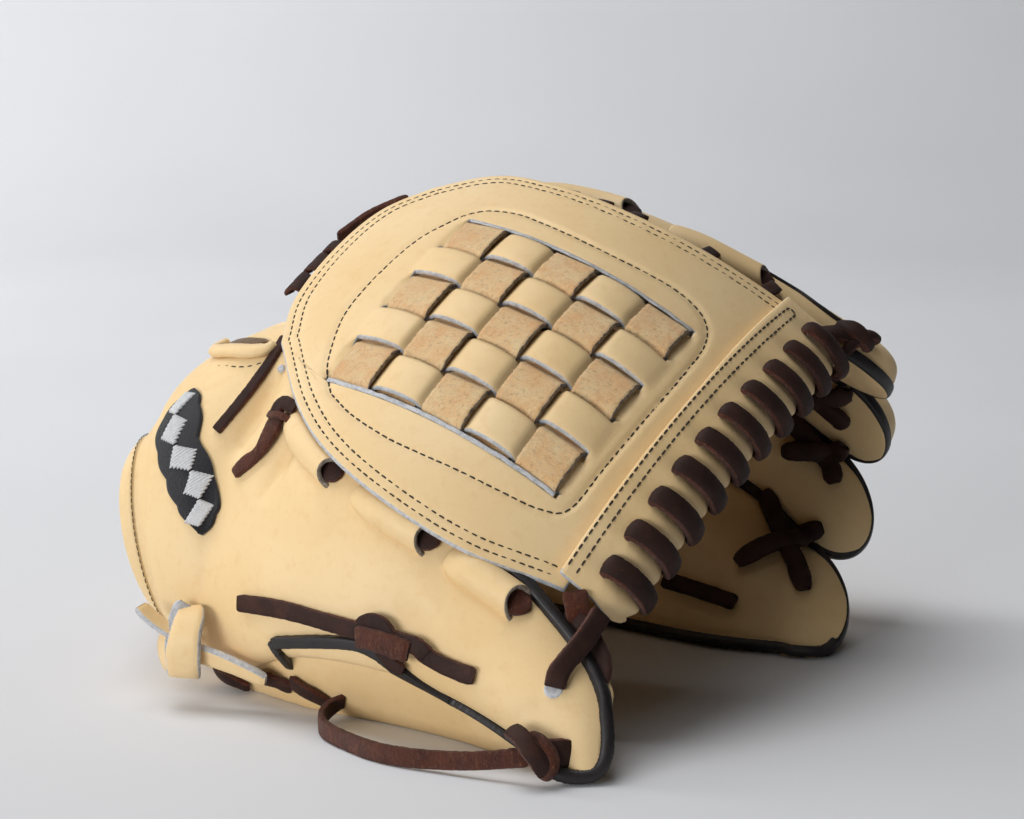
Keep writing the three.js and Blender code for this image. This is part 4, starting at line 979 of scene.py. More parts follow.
def webPanel():
    near = np.linspace(-7.2, 7.2, 15)
    aLines = [-blockA, -blockA + 1.2, -blockA + 2.4]
    for j in range(5):
        aLines += list(cellCentre(j, weave["pitchA"]) + near)
        if j < 4:
            aLines += list(cellCentre(j, weave["pitchA"]) + np.array([7.9, 8.5]))
    aLines += [blockA - 2.4, blockA - 1.2, blockA]
    strapAcross = np.linspace(-6, 6, 11)
    bLines, strapOf = [-rimB, -rimB + 1.5], [-1, -1]
    for i in range(5):
        bLines += list(cellCentre(i, weave["pitchB"]) + strapAcross)
        strapOf += [i] * 11
        if i < 4:
            bLines += [cellCentre(i, weave["pitchB"]) + 7.5]
            strapOf += [-1]
    bLines += [rimB - 1.5, rimB]
    strapOf += [-1, -1]
    aLines, bLines, strapOf = np.array(aLines), np.array(bLines), np.array(strapOf)
    na, nb = len(aLines), len(bLines)
    gridA, gridB = np.meshgrid(aLines, bLines, indexing="ij")
    lift = np.zeros((na, nb))
    for i in range(5):
        here = strapOf == i
        swell = 0.35 * (1 - ((bLines[here] - cellCentre(i, weave["pitchB"])) / 6) ** 4)
        lift[:, here] = strapHeight(aLines, i)[:, None]
        inner = (np.abs(aLines) < halfA + 0.5)[:, None]
        lift[:, here] += inner * (swell - 0.35)[None]
    pairB = (strapOf[:-1] >= 0) & (strapOf[:-1] == strapOf[1:])
    mids = (aLines[:-1] + aLines[1:]) / 2
    keep = pairB[None] | (np.abs(mids) > halfA + 0.2)[:, None]
    quads = gridQuads(na, nb, keep)
    flat = [np.stack([gridA.ravel(), gridB.ravel()], axis=1)]
    lifts = [lift.ravel()]
    # loop round the block and its partner on the outline
    inner, outer, index = [], [], []
    walks = [[(m, 0) for m in range(na - 1)], [(na - 1, m) for m in range(nb - 1)],
             [(na - 1 - m, nb - 1) for m in range(na - 1)], [(0, nb - 1 - m) for m in range(nb - 1)]]
    for side, walk in zip(webSides, walks):
        for m, (i, j) in enumerate(walk):
            inner.append([aLines[i], bLines[j]])
            index.append(i * nb + j)
            outer.append(curveAt(side, np.array(m / len(walk))))
    inner, outer = np.array(inner), np.array(outer)
    rings = [mix(inner, outer, k / borderRings) for k in range(1, borderRings + 1)]
    base = na * nb
    count = len(inner)
    last = np.array(index)
    nexts = np.roll(np.arange(count), -1)
    for ring in rings:
        flat.append(ring)
        lifts.append(np.zeros(count))
        here = base + np.arange(count)
        quads = np.vstack([quads, np.stack([last, here, here[nexts], last[nexts]], axis=1)])
        last = here
        base += count
    flat, lifts = np.vstack(flat), np.concatenate(lifts)
    # leather pulled in along the stitching
    oval = curveAt(ovalStitch, np.linspace(0, 1, 500))
    rim = edgeLine(edgeStitch[0])
    rim2 = edgeLine(edgeStitch[1])
    for line, depth, width in ((oval, 0.7, 1.1), (rim, 0.45, 0.8), (rim2, 0.45, 0.8)):
        d = np.sqrt(((flat[:, None] - line[None, ::2]) ** 2).sum(-1)).min(1)
        lifts = lifts - depth * np.exp(-(d / width) ** 2)
    points = onWeb(flat[:, 0], flat[:, 1], lifts)
    dirs = np.broadcast_to(webUp, points.shape)
    return together([sheet(points, quads, webLeather, dirs=dirs, bulge=0.15, rim=3), *slitEdges()])


def slitEdges():
    # the pale cut edge of the border along the first and the last slit
    parts = []
    rng = np.random.default_rng(11)
    for b, way in ((-37.6, -1), (37.6, 1)):
        aLine = np.linspace(-halfA + 1, halfA - 1, 120)
        across = np.linspace(0, 1.15, 4)
        gridA, gridB = np.meshgrid(aLine, b + way * across, indexing="ij")
        gridB = gridB + np.interp(aLine, np.linspace(-halfA, halfA, 40), rng.normal(0, 0.12, 40))[:, None]
        lift = 0.28 - 0.12 * (across / 1.15) ** 2 + 0 * gridA
        points = onWeb(gridA, gridB, lift).reshape(-1, 3)
        quads = gridQuads(*gridA.shape)
        if way < 0:
            quads = quads[:, ::-1]
        parts.append(marked(sheet(points, quads, 0.5, dirs=np.broadcast_to(webUp, points.shape), rim=2), 1))
    return parts


def edgeLine(inset):
    # line at a constant distance inside the outline, along thumb side, crotch and index side
    whole = np.vstack([curveAt(webSides[k], np.linspace(0, 1, 160)) for k in (2, 3, 0)])
    tangent = unit(np.gradient(whole, axis=0))
    inward = np.stack([-tangent[:, 1], tangent[:, 0]], axis=1)
    centre = whole.mean(0)
    inward *= np.sign(((centre - whole) * inward).sum(1, keepdims=True))
    for _ in range(25):
        before, after = np.vstack([inward[:1], inward[:-1]]), np.vstack([inward[1:], inward[-1:]])
        inward = unit(before + inward * 2 + after)
    return whole + inward * inset


makePiece("webPanel", webPanel(), [cream, rimPale, suede], ["web_panel"])


stripLook = {"low": -1.25, "high": 0.95, "end": -2.5, "crown": 0.5, "thick": 2.1, "rough": 0.05,
             "frayed": 0.12}


def stripHeight(b, j):
    # lift of suede strip j along b
    low, high, end = stripLook["low"], stripLook["high"], stripLook["end"]
    edges = [-37.5] + [cellCentre(i, weave["pitchB"]) + 7.5 for i in range(4)] + [37.5]
    levels = [end] + [low if (i + j) % 2 == 1 else high for i in range(5)] + [end]
    lift = stepped(b, edges, levels, 3.4)
    for i in range(5):
        if (i + j) % 2 == 0:
            local = (b - cellCentre(i, weave["pitchB"])) / 7
            lift = lift + stripLook["crown"] * np.clip(1 - local * local, 0, 1)
    return lift


def weaveStrip(j):
    across = np.linspace(-7, 7, 15)
    bs = np.linspace(-44, 44, 111)
    gridA, gridB = np.meshgrid(cellCentre(j, weave["pitchA"]) + across, bs, indexing="ij")
    rng = np.random.default_rng(20 + j)
    lift = stripHeight(gridB, j) + 0.55 * (across / 7)[:, None] + 0.15 * (across / 7)[:, None] ** 2
    lift = lift + rng.normal(0, stripLook["rough"], lift.shape)
    gridA[0] += rng.normal(0, stripLook["frayed"], len(bs))
    gridA[-1] += rng.normal(0, stripLook["frayed"], len(bs))
    points = onWeb(gridA, gridB, lift).reshape(-1, 3)
    dirs = np.broadcast_to(webUp, points.shape)
    return sheet(points, gridQuads(*gridA.shape), stripLook["thick"], dirs=dirs, bulge=0.12, rim=3)


for j in range(5):
    makePiece(f"weaveStrip{j + 1}", weaveStrip(j), [suede, rimDark, suede], [f"weave_strip_{j + 1}"])

# ---- top band and the lace over it ----
bandRows = np.array([[-56, 73.5, 54], [-13, 73, 54], [20, 73, 54], [50, 73.5, 53], [79, 72.4, 52.2]])
bandHole = {"near": 7.7, "far": 11.6, "underNear": 8.6, "underFar": 13.0}
bandLook = {"leather": 2.0, "swell": 0.8, "pinch": 0.9, "pinchWide": 3.2, "cutOver": 14}
edgeLaceLook = {"width": 6.9, "thick": 2.2, "dome": 0.3}
laceIn = 8.9
bandTop = 2.9
bandUnder = -10.2
wraps = 10
wrapFrom = -46.0
wrapStep = 13.22


def bandAt(b):
    knots = bandRows[:, 0]
    x = np.clip((np.asarray(b, float) - knots[0]) / (knots[-1] - knots[0]), 0, 1)
    u = np.interp(x, (knots - knots[0]) / (knots[-1] - knots[0]), np.linspace(0, 1, len(knots)))
    at = curveAt(bandRows[:, 1:], u)
    return at[..., 0], at[..., 1]


def webBand():
    bs = np.linspace(bandRows[0, 0], bandRows[-1, 0], 271)
    fold, inner = bandAt(bs)
    h = bandHole
    # the section's corners, each a place along the glove and a lift
    corners = [
        (inner, bandTop - 0.1), (fold - h["far"], bandTop), (fold - h["near"], bandTop), (fold - 4.5, 1.9),
        (fold - 1.4, -0.6), (fold, -4), (fold - 1.4, -7.4), (fold - 4.5, -9.5),
        (fold - h["underNear"], bandUnder),
        (fold - h["underFar"], bandUnder + 0.2), (inner + 2, -5.8),
    ]
    section = np.array([[a, high + 0 * fold] for a, high in corners])
    t = np.linspace(0, 1, 72)
    grown = curveAt(section.reshape(len(corners), -1), t).reshape(len(t), 2, -1)
    gridA, gridLift = grown[:, 0], grown[:, 1]
    # the lace pinches the roll and the leather swells between its turns
    drift = np.interp(t, [0, 0.2, 0.5, 0.8, 1], [0, 0, 3.8, wrapStep, wrapStep])
    roll = np.interp(t, [0.02, 0.2, 0.3, 0.72, 0.8, 1], [0, 0.5, 1, 1, 0.4, 0])
    phase = (bs[None] - wrapFrom - drift[:, None]) / wrapStep
    off = (phase - np.round(phase)) * wrapStep
    swell = bandLook["swell"] * np.cos(off / wrapStep * 2 * math.pi + math.pi)
    pinch = bandLook["pinch"] * np.exp(-(off / bandLook["pinchWide"]) ** 2)
    puff = roll[:, None] * (swell - pinch)
    # the underside stops short of the band's end by the thumb
    cut = np.interp(t, [0.3, 0.4, 0.5, 0.6, 1], [0, 1.5, 4.5, 7, 7])
    short = cut[:, None] * np.clip(1 - (bs - bs[0]) / bandLook["cutOver"], 0, 1)[None]
    points = onWeb(gridA, bs[None] + short, gridLift)
    normals = vertexNormals(points.reshape(-1, 3), gridQuads(*gridA.shape)).reshape(points.shape)
    points = points + normals * puff[..., None]
    points, faces, marks = sheet(points.reshape(-1, 3), gridQuads(*gridA.shape), bandLook["leather"],
                                 bulge=0.2)
    # only the ends of the band show a pale cut edge
    b = (points[faces].mean(1) - webOrigin) @ webAcross
    marks[(marks == 1) & (np.abs(b - 11.5) < 66.5)] = 0
    return points, faces, marks


makePiece("webBand", webBand(), [cream, rimPale, suede], ["web_band"])


def edgeLace():
    path, face, sides = [], [], []
    up, on = webUp, webAlong

    def at(b, da, lift):
        return onWeb(bandAt(b)[0] + da, b, lift)

    def put(b, da, lift, db, way):
        path.append(at(b + db, da, lift))
        face.append(unit(way))
        sides.append(unit(at(b + db - 1, da, lift) - at(b + db + 1, da, lift)))

    for w in range(wraps):
        b = wrapFrom + wrapStep * w
        big = 1.0 if w < wraps - 1 else 1.25
        put(b, -laceIn - 0.3, -3, 0, -on)
        put(b, -laceIn, bandTop + 0.3 * big, 0, up - on)
        put(b, -4.2, 2.9 * big, 1.2, up + 0.3 * on)
        put(b, -0.7, 0.4, 2.4, up + on)
        put(b, 0.9 * big, -4, 3.6, on)
        if w == wraps - 1:
            put(b, -0.5, -8.2, 4.0, on - up)
            put(b, -5, -10.8, 4.2, 0.2 * on - up)
            break
        put(b, -0.5, -8.2, 5.4, on - up)
        put(b, -4.4, -10.6, 8.2, 0.3 * on - up)
        put(b, -laceIn, bandUnder - clear - 0.4, wrapStep, -on - up)
    return lace(path, face, sides=sides, seed=5, **edgeLaceLook)


makePiece("webEdgeLace", edgeLace(), darkLace, ["web_edge_lace"])

# ---- leather loops along the web ----
# first and last place on the grid, half the width, the height, and how far the lace turns to the web
thumbLoops = [
    [(12.4, 7.0), (15.0, 6.95), 4.8, 4.2, 1],
    [(16.1, 6.9), (19.0, 6.75), 5.0, 4.6, 1],
    [(19.9, 6.6), (22.0, 6.6), 5.6, 5.6, 1.3],
]
indexLoops = [
    [(2.2, 1.0), (0.8, 1.0), 4.4, 3.4, -1],
    [(2.8, 1.0), (4.6, 1.0), 4.6, 3.6, -1],
    [(5.4, 1.0), (7.2, 1.0), 4.6, 3.6, -1],
]


loopLook = {"leather": 1.6, "mouth": 3.6, "laceWide": 1.7, "laceThick": 0.3}


def loopShell(surface, row):
    start, end, wide, high = row[:4]
    t = np.linspace(0, 1, 44)
    i, j = start[0] + (end[0] - start[0]) * t, start[1] + (end[1] - start[1]) * t
    p, up = onSurface(surface, i, j)
    along = unit(np.gradient(p, axis=0))
    side = unit(np.cross(up, along))
    grow = np.sqrt(np.clip(1 - (1 - np.minimum(1, t * 2.2 + 0.02)) ** 2, 0, 1))
    r = wide * (0.35 + 0.65 * grow)
    h = high * (0.12 + 0.88 * np.minimum(1, grow * (0.55 + 0.45 * t)))
    q = np.linspace(-0.06, 1.06, 29) * math.pi
    body = (p[:, None] - side[:, None] * (np.cos(q)[None] * r[:, None])[..., None]
            + up[:, None] * (0.3 + np.sin(q)[None] * h[:, None])[..., None])
    # the mouth is cut back on its outer side
    slant = loopLook["mouth"] * (t ** 3)[:, None] * (0.5 - np.sin(q))[None]
    body = body + along[:, None] * slant[..., None]
    return sheet(body.reshape(-1, 3), gridQuads(*body.shape[:2]), loopLook["leather"])


def loopLace(surface, row):
    # a lace that fills the loop and turns under the web past its mouth
    start, end, wide, high, toWeb = row
    past = 4.6 / np.linalg.norm(surface(*np.array(end, float)) - surface(*np.array(start, float)))
    rows = []
    for t, over in ((0.66, 0), (0.85, 0), (1.0, 0.06), (1 + past * 0.6, 0.2), (1 + past, 0.42)):
        i, j = mix(start, end, t)
        rows.append([i, j + over * toWeb, 0.15])
    return surfaceLace(surface, rows, width=wide * loopLook["laceWide"], thick=high * loopLook["laceThick"],
                       flip=toWeb > 1, widths=[0.9, 1, 1, 0.8, 0.3])


def bridge(i, seed):
    # a lace across the gap from the index finger to the underside of the web
    start, up = onSurface(indexSurface, np.array(float(i)), np.array(0.8), np.array(0.2))
    a = (start - webOrigin) @ webAlong
    side = curveAt(webSides[2], np.linspace(0, 1, 60))[::-1]
    b = np.interp(a, side[:, 0], side[:, 1])
    end = onWeb(a + 1.5, b - 5, -4.2)
    lip = onWeb(a + 0.8, b + 0.5, -4.6)
    path = [start, mix(start, lip, 0.4) + up * 0.6, lip, end]
    return lace(path, [up, up, webUp, webUp], 4.6, 1.8, seed=seed)


for k, row in enumerate(thumbLoops):
    makePiece(f"thumbLoop{k + 1}", loopShell(thumbSurface, row), [cream, rimDark, suede],
              [f"thumb_loop_{k + 1}"])
    makePiece(f"thumbSideLace{k + 1}", loopLace(thumbSurface, row), darkLace, [f"thumb_side_lace_{k + 1}"])
for k, row in enumerate(indexLoops):
    makePiece(f"indexLoop{k + 1}", loopShell(indexSurface, row), [cream, rimDark, suede],
              [f"index_loop_{k + 1}"])
    sideLaces = [loopLace(indexSurface, row), bridge(row[0][0] + 0.9, 130 + k),
                 bridge(row[0][0] + 2.1, 133 + k)]
    makePiece(f"indexSideLace{k + 1}", together(sideLaces), darkLace, [f"index_side_lace_{k + 1}"])


# ---- bindings ----
bindLook = {"inset": 1.5, "nose": 0.9, "lift": 0.5, "seamWide": 3.4, "seamFrom": 7.5}


def tipBinding(f):
    name = fingers[f]
    seamA, seamB, on, out = fingerFrame(f, lastStation)
    side = unit(seamB - seamA)
    wide = np.linalg.norm(seamB - seamA) / 2
    phi = np.linspace(0.1, math.pi - 0.1, 60)
    p = tipPoint(f, phi)
    way = unit(-side * (np.cos(phi) / wide)[:, None] + on * (np.sin(phi) / tipReach[f])[:, None])
    up = np.broadcast_to(-out, p.shape)
    parts = [edgeFold(p, up, way, inset=bindLook["inset"], back=1.2, thick=palmSeam + 0.2,
                      lift=bindLook["lift"],
                      nose=bindLook["nose"], floor=0.15)]
    if f > 0:
        # the seam to the finger above
        stations = np.linspace(bindLook["seamFrom"], lastStation + 0.2, 12)
        path = palmSurface(stations, np.full(12, float(f)))
        face = np.broadcast_to(-out, path.shape)
        parts.append(lace(path + out * 1.0, face, bindLook["seamWide"], 2.4, seed=30 + f,
                          widths=[0.3, 1, 1, 1]))
    if name == "pinky":
        # and along the edge that rests on the floor
        path = palmSurface(np.linspace(8.5, lastStation, 20), np.full(20, 4.0))
        path = np.vstack([path, tipPoint(f, np.linspace(math.pi - 0.2, 2.0, 12)) + way[-1] * 0.2 - out * 0.4])
        path[:, 2] = np.maximum(path[:, 2] - 1, 1.35)
        parts.append(lace(path, np.broadcast_to(-out, path.shape), 2.6, 3.0, seed=34))
    if name == "index":
        # the piping down the index finger's back
        rows = [[6.6, 2.3, -0.5], [7.44, 1.96, -0.5], [7.81, 1.8, -0.5], [8.19, 1.4, -0.5],
                [8.62, 1.08, -0.5], [9.1, 0.9, -0.5]]
        parts.append(surfaceLace(indexSurface, rows, width=1.4, thick=1.4, seed=123))
    return together(parts)


for f, name in enumerate(fingers):
    makePiece(name + "Binding", tipBinding(f), [binding, binding, binding], [name + "_binding"])

# along the thumb's back, then on its lower edge
pipeWide = 3.6
along, alongUp = surfaceRow(thumbSurface, pipingLine[:-1], -0.5)
lowerEdge = edgePath(thumbSurface, [(17.4, 0.02), (18.2, 0.02), (19.2, 0.02), (20.6, 0.02)], (18, 4), 30)
onEdge = lowerEdge[0] + lowerEdge[2] * 1.3 + lowerEdge[1] * 0.2
legLine, legUp = surfaceRow(thumbSurface, [(12.42, 1.3), (12.36, 0.85), (12.25, 0.35)], -0.5)
legEnd = np.array([[-65.0, -88.5, 14.2]])
pipes = [
    lace(np.vstack([along[::2], onEdge]), np.vstack([alongUp[::2], lowerEdge[1]]), pipeWide, 2.4, seed=41),
    lace(np.vstack([legLine[::8], legEnd]), np.vstack([legUp[::8], legUp[-1:]]), 2.8, 2.0, seed=42),
]
makePiece("thumbPiping", together(pipes), [binding, binding, binding], ["thumb_piping"])
tipCord = lace(tipLine - tipUp * 1.9, tipUp, width=4.0, thick=3.6, seed=43, dome=0.1)
makePiece("thumbBinding", (rest(tipCord[0], 0.1), *tipCord[1:]), [binding, binding, binding],
          ["thumb_binding"])

# ---- laces over the finger seams ----
crosses = {
    "index_middle_lace": [(15.5, 1.3), (14.6, 1.2), (16.5, 1.42), (14.9, 1.62), (16.2, 0.98), 0.9],
    "middle_ring_lace": [(15.7, 2.14), (14.8, 2.04), (16.5, 2.34), (14.9, 2.42), (16.6, 1.72), 1.2],
    "ring_pinky_lace": [(15.6, 3.2), (14.6, 2.94), (16.7, 3.5), (14.4, 3.54), (16.9, 2.8), 1.0],
}


def palmArm(start, centre, end, low, over, seed):
    rows = [[*start, low], [*mix(start, centre, 0.6), low + over * 0.8], [*centre, low + over],
            [*mix(centre, end, 0.4), low + over * 0.8], [*end, low]]
    return surfaceLace(palmSurface, rows, sign=-1, width=6.6, thick=2.6, seed=seed, dome=0.25,
                       widths=[0.66, 0.98, 1.02, 0.98, 0.95, 0.93, 0.93, 0.93, 0.95, 0.98, 1.02, 0.98, 0.66])


seamLace = [laceFace, laceFace, laceFlesh]
for k, (node, (centre, a1, a2, a3, a4, low)) in enumerate(crosses.items()):
    arms = [palmArm(a1, centre, a2, low, 0.8, 50 + k), palmArm(a3, centre, a4, low, 2.0, 60 + k)]
    makePiece("cross" + str(k + 1), together(arms), seamLace, [node])
bar = surfaceLace(palmSurface, [[12.9, 3.74, 0.6], [13.7, 3.76, 0.9], [14.6, 3.78, 0.6]], sign=-1, width=5.4,
                  thick=2.4, dome=0.2)
makePiece("pinkyLace", bar, seamLace, ["pinky_lace"])
heelRows = [
    [[2.2, 0.3, 0.4], [2.75, 0.3, 1.6], [3.3, 0.35, 1.6], [3.7, 0.7, 0.2]],
    [[4.3, 0.3, 0.4], [4.9, 0.35, 1.6], [5.4, 0.5, 1.6], [5.8, 0.8, 0.3]],
    [[5.9, 0.6, 0.4], [6.2, 0.75, 1.4], [6.4, 0.85, 1.4], [6.7, 1.1, 0.2]],
]
heel = together([surfaceLace(palmOuter, rows, sign=-1, width=4.4, thick=1.8, seed=65 + k) for k,
                 rows in enumerate(heelRows)])
makePiece("heelLace", heel, darkLace, ["heel_lace"])
print("stage: web and loops done")

# ---- tie lace on the thumb ----
tieRows = [
    {"rows": [[11.5, 2.38, 0.3], [13.12, 2.5, 0.3], [14.38, 2.56, 0.4], [15.38, 2.69, 0.8],
              [16.0, 2.81, 1.2]],
     "width": 5.2, "seed": 70},
    {"rows": [[15.88, 2.94, 1.0], [16.22, 3.24, 2.2], [16.58, 3.42, 2.8], [16.88, 3.4, 2.8],
              [16.96, 3.18, 2.4],
              [16.98, 2.9, 1.6]], "width": 4.6, "seed": 72},
    {"rows": [[15.75, 2.62, 3.0], [16.38, 2.81, 3.4], [17.0, 2.86, 3.4], [17.55, 2.92, 3.2]],
     "width": 6.4, "seed": 73, "flip": True, "thick": 2.2},
    {"rows": [[16.3, 2.5, 1.4], [16.5, 2.06, 1.6], [16.8, 1.86, 1.2]], "width": 4.0, "seed": 75},
    {"rows": [[16.6, 3.0, 1.0], [17.4, 3.14, 2.0], [17.88, 3.19, 2.2], [18.1, 3.0, 1.2]], "width": 5.0,
     "seed": 74},
    {"rows": [[17.8, 3.3, 1.8], [17.96, 3.0, 1.2], [18.5, 2.9, 0.8], [19.12, 2.94, 0.5], [19.75, 3.06, 0.4]],
     "width": 5.0, "seed": 71},
]
tie = [surfaceLace(thumbSurface, row.pop("rows"), **row) for row in tieRows]
makePiece("thumbTieLace", together(tie), darkLace, ["thumb_tie_lace"])


# ---- loop lace under the thumb ----
loopPath = [[-49, -97, 5.6], [-53, -100, 4.4], [-54.6, -107, 3.4], [-52.6, -115, 3.0], [-46.2, -124.1, 2.9],
            [-38.8, -132.4, 2.9], [-30.5, -138.2, 3.1], [-19, -143.4, 3.8], [-7.5, -148.4, 5.4], [5, -153, 8]]
loopFace = [[-1, -0.2, 0], [-1, 0, 0], [-1, -0.1, 0], [-1, -0.3, 0], [-0.9, -0.7, 0], [-0.6, -1, 0],
            [-0.5, -1, 0],
            [-0.35, -1, 0.05], [-0.3, -1, 0.1], [-0.2, -1, 0.1]]
strand = makePiece("thumbLoopLace", lace(loopPath, loopFace, 5.4, 2.0, flip=True, seed=80), darkLace,
                   ["thumb_loop_lace"])
loopParts = []
loopParts.append(lace([[0, -150, 13.4], [2.6, -155, 13.4], [5.4, -157.2, 10], [7.6, -156.8, 7],
                       [9, -154.6, 4.8]],
                      [[-0.4, -0.2, 1], [-0.2, -0.8, 1], [0.1, -1, 0.5], [0.3, -1, -0.2], [0.4, -1, -0.8]],
                      5.2, 2.2, seed=81, dome=0.2))
loopParts.append(lace([[4.8, -152, 12.8], [8, -155.2, 12], [10.4, -156, 8.8], [10.2, -155.6, 5.2],
                       [8.4, -154, 3]],
                      [[0, 0.2, 1], [0.3, -0.8, 1], [0.8, -1, 0.3], [0.6, -1, -0.4], [0, -1, -0.6]], 3.6,
                      2.0, flip=True,
                      seed=82, dome=0.2))
loopParts.append(lace([[8.4, -151.4, 8.6], [11, -152.6, 8.8], [14, -151.6, 8.6], [15.2, -149, 8]],
                      [[0, -1, 0.1], [0.1, -1, 0.1], [0.5, -1, 0.1], [1, -0.6, 0]], 7.6, 2.2, seed=83,
                      dome=0.2,
                      widths=[1, 1.03, 1.05, 1.05, 1, 0.9, 0.62]))
makePiece("thumbLoopKnot", together(loopParts), darkLace, [])

# ---- lace ends at the crotch ----
flatRows = [[9.6, 7.2, 0.4], [9.4, 6.81, 0.4], [9.5, 6.31, 0.4], [9.38, 5.81, 0.4], [8.88, 5.31, 0.4],
            [8.12, 4.94, 0.4]]
flatLine = curveAt(flatRows, np.linspace(0, 1, 30))
flatPath, flatUp = onSurface(thumbSurface, flatLine[:, 0], flatLine[:, 1], flatLine[:, 2])
flatPath = straightened(flatPath)
flatUp = straightened(flatUp)
flat = makePiece("crotchLaceFlat",
                 lace(flatPath, flatUp, width=3.4, thick=1.4, seed=90, widths=[0.85, 0.9, 1, 1, 1, 1]),
                 darkLace, ["crotch_lace_flat"])
twisted = together([
    surfaceLace(thumbSurface, [[12.6, 7.4, 0.6], [12.1, 7.1, 1.8], [11.9, 6.75, 1.8], [11.85, 6.5, 1.0]],
                width=4.2, thick=2.0,
                seed=91, widths=[1, 1.05, 1.1, 0.9]),
    surfaceLace(thumbSurface, [[11.3, 6.3, 0.8], [11.75, 6.5, 2.6], [12.2, 6.8, 2.6], [12.6, 7.0, 0.8]],
                width=2.2, thick=1.4,
                seed=94, flip=True),
    surfaceLace(thumbSurface,
                [[11.9, 6.7, 0.8], [11.9, 6.2, 1.6], [11.55, 5.6, 1.2], [10.95, 5.08, 0.7],
                 [10.38, 4.64, 0.3]],
                width=4.8, thick=1.8, flip=True, seed=95, widths=[1.1, 1.1, 0.75, 0.95, 0.7],
                twist=[0, 14, 30, 18, 4]),
])
makePiece("crotchLaceTwisted", twisted, darkLace, ["crotch_lace_twisted"])
sideWay = [-webAlong] * 3
sideLace = lace([onWeb(-72, 50, -3), onWeb(-79, 41, -3), onWeb(-83, 26, -3)], sideWay, 5.0, seed=92)
makePiece("crotchSideLace", sideLace, darkLace, ["crotch_side_lace"])
knotParts = []
for k, (b, tilt) in enumerate([(-2, 0.3), (3, -0.2), (8, 0.25), (13, -0.2), (18, 0.3)]):
    centre = onWeb(-79, b, -4.2)
    ring, way = [], []
    for q in np.linspace(-0.4, 2 * math.pi - 1.2, 9):
        w = math.cos(q) * unit(-webAlong) + math.sin(q) * webUp
        ring.append(centre + w * 2.6 + webAcross * (tilt * 6 * math.sin(q / 2)))
        way.append(w)
    knotParts.append(lace(ring, way, 4.6, 1.3, seed=96 + k))
makePiece("crotchSideKnot", together(knotParts), darkLace, ["crotch_side_knot"])

# ---- lace at the thumb end of the band ----
cornerEnd, cornerUp = onSurface(thumbSurface, np.array(22.95), np.array(4.3), np.array(0.2))
cornerTop = np.array([24.7, -128.5, 41.5])
cornerPath = [cornerTop, mix(cornerTop, cornerEnd, 0.35) + np.array([-0.2, -2.5, 0.5]),
              mix(cornerTop, cornerEnd, 0.75) + np.array([-1.7, -2.5, 0]),
              cornerEnd + np.array([0.3, 0, -0.8])]
cornerParts = [lace(cornerPath, [[0.3, -0.9, 0.3], [0.3, -0.9, 0.25], [0.2, -0.9, 0.3], cornerUp], 6.2, 2.0,
                    seed=100)]
cornerParts.append(lace([[17.4, -125, 47], [18.4, -127.4, 42], [19.6, -127.6, 35]],
                        [[0.2, -1, 0.2], [0.1, -1, 0.1], [0.1, -1, 0]], 7.0, 2.0, flip=True, seed=101))


def punched(row, column, size, low=0.3):
    # the pale edge of a punched hole round the lace's end
    q = np.linspace(0, 2 * math.pi, 25)[:-1]
    middle, up = onSurface(thumbSurface, np.array(row), np.array(column), np.array(low))
    side = unit(np.cross(up, [0, 0, 1]))
    on = np.cross(side, up)
    rings = [(0.004, 0), (0.4, 0.05), (0.7, 0.1), (0.9, 0), (1, -0.8)]
    points = [middle + size * r * (side * math.cos(a) + on * math.sin(a)) + up * h for r,
              h in rings for a in q]
    faces = [[r * 24 + k, r * 24 + (k + 1) % 24, (r + 1) * 24 + (k + 1) % 24, (r + 1) * 24 + k]
             for r in range(4) for k in range(24)]
    faces.append([96 + k for k in range(24)][::-1])
    return np.array(points), faces, [3] * len(faces)


cornerParts.append(punched(22.9, 4.12, 2.8))
# its other end comes out behind the thumb's edge
behind = np.array([tipLine[13] + [1.0, 4.0, 4.0], tipLine[16] + [2.4, 4.4, 4.0],
                   tipLine[19] + [2.7, 4.4, 3.0],
                   tipLine[22] + [1.5, 4.0, 2.6], tipLine[26] + [-0.5, 3.6, 2.6]])
cornerParts.append(lace(behind, [[-0.1, -1, 0.2]] * 5, 5.6, 1.8, seed=102))
cornerParts.append(punched(10.25, 6.85, 1.3, 0.2))
makePiece("cornerLace", together(cornerParts), [*darkLace, rimPale], ["corner_lace"])

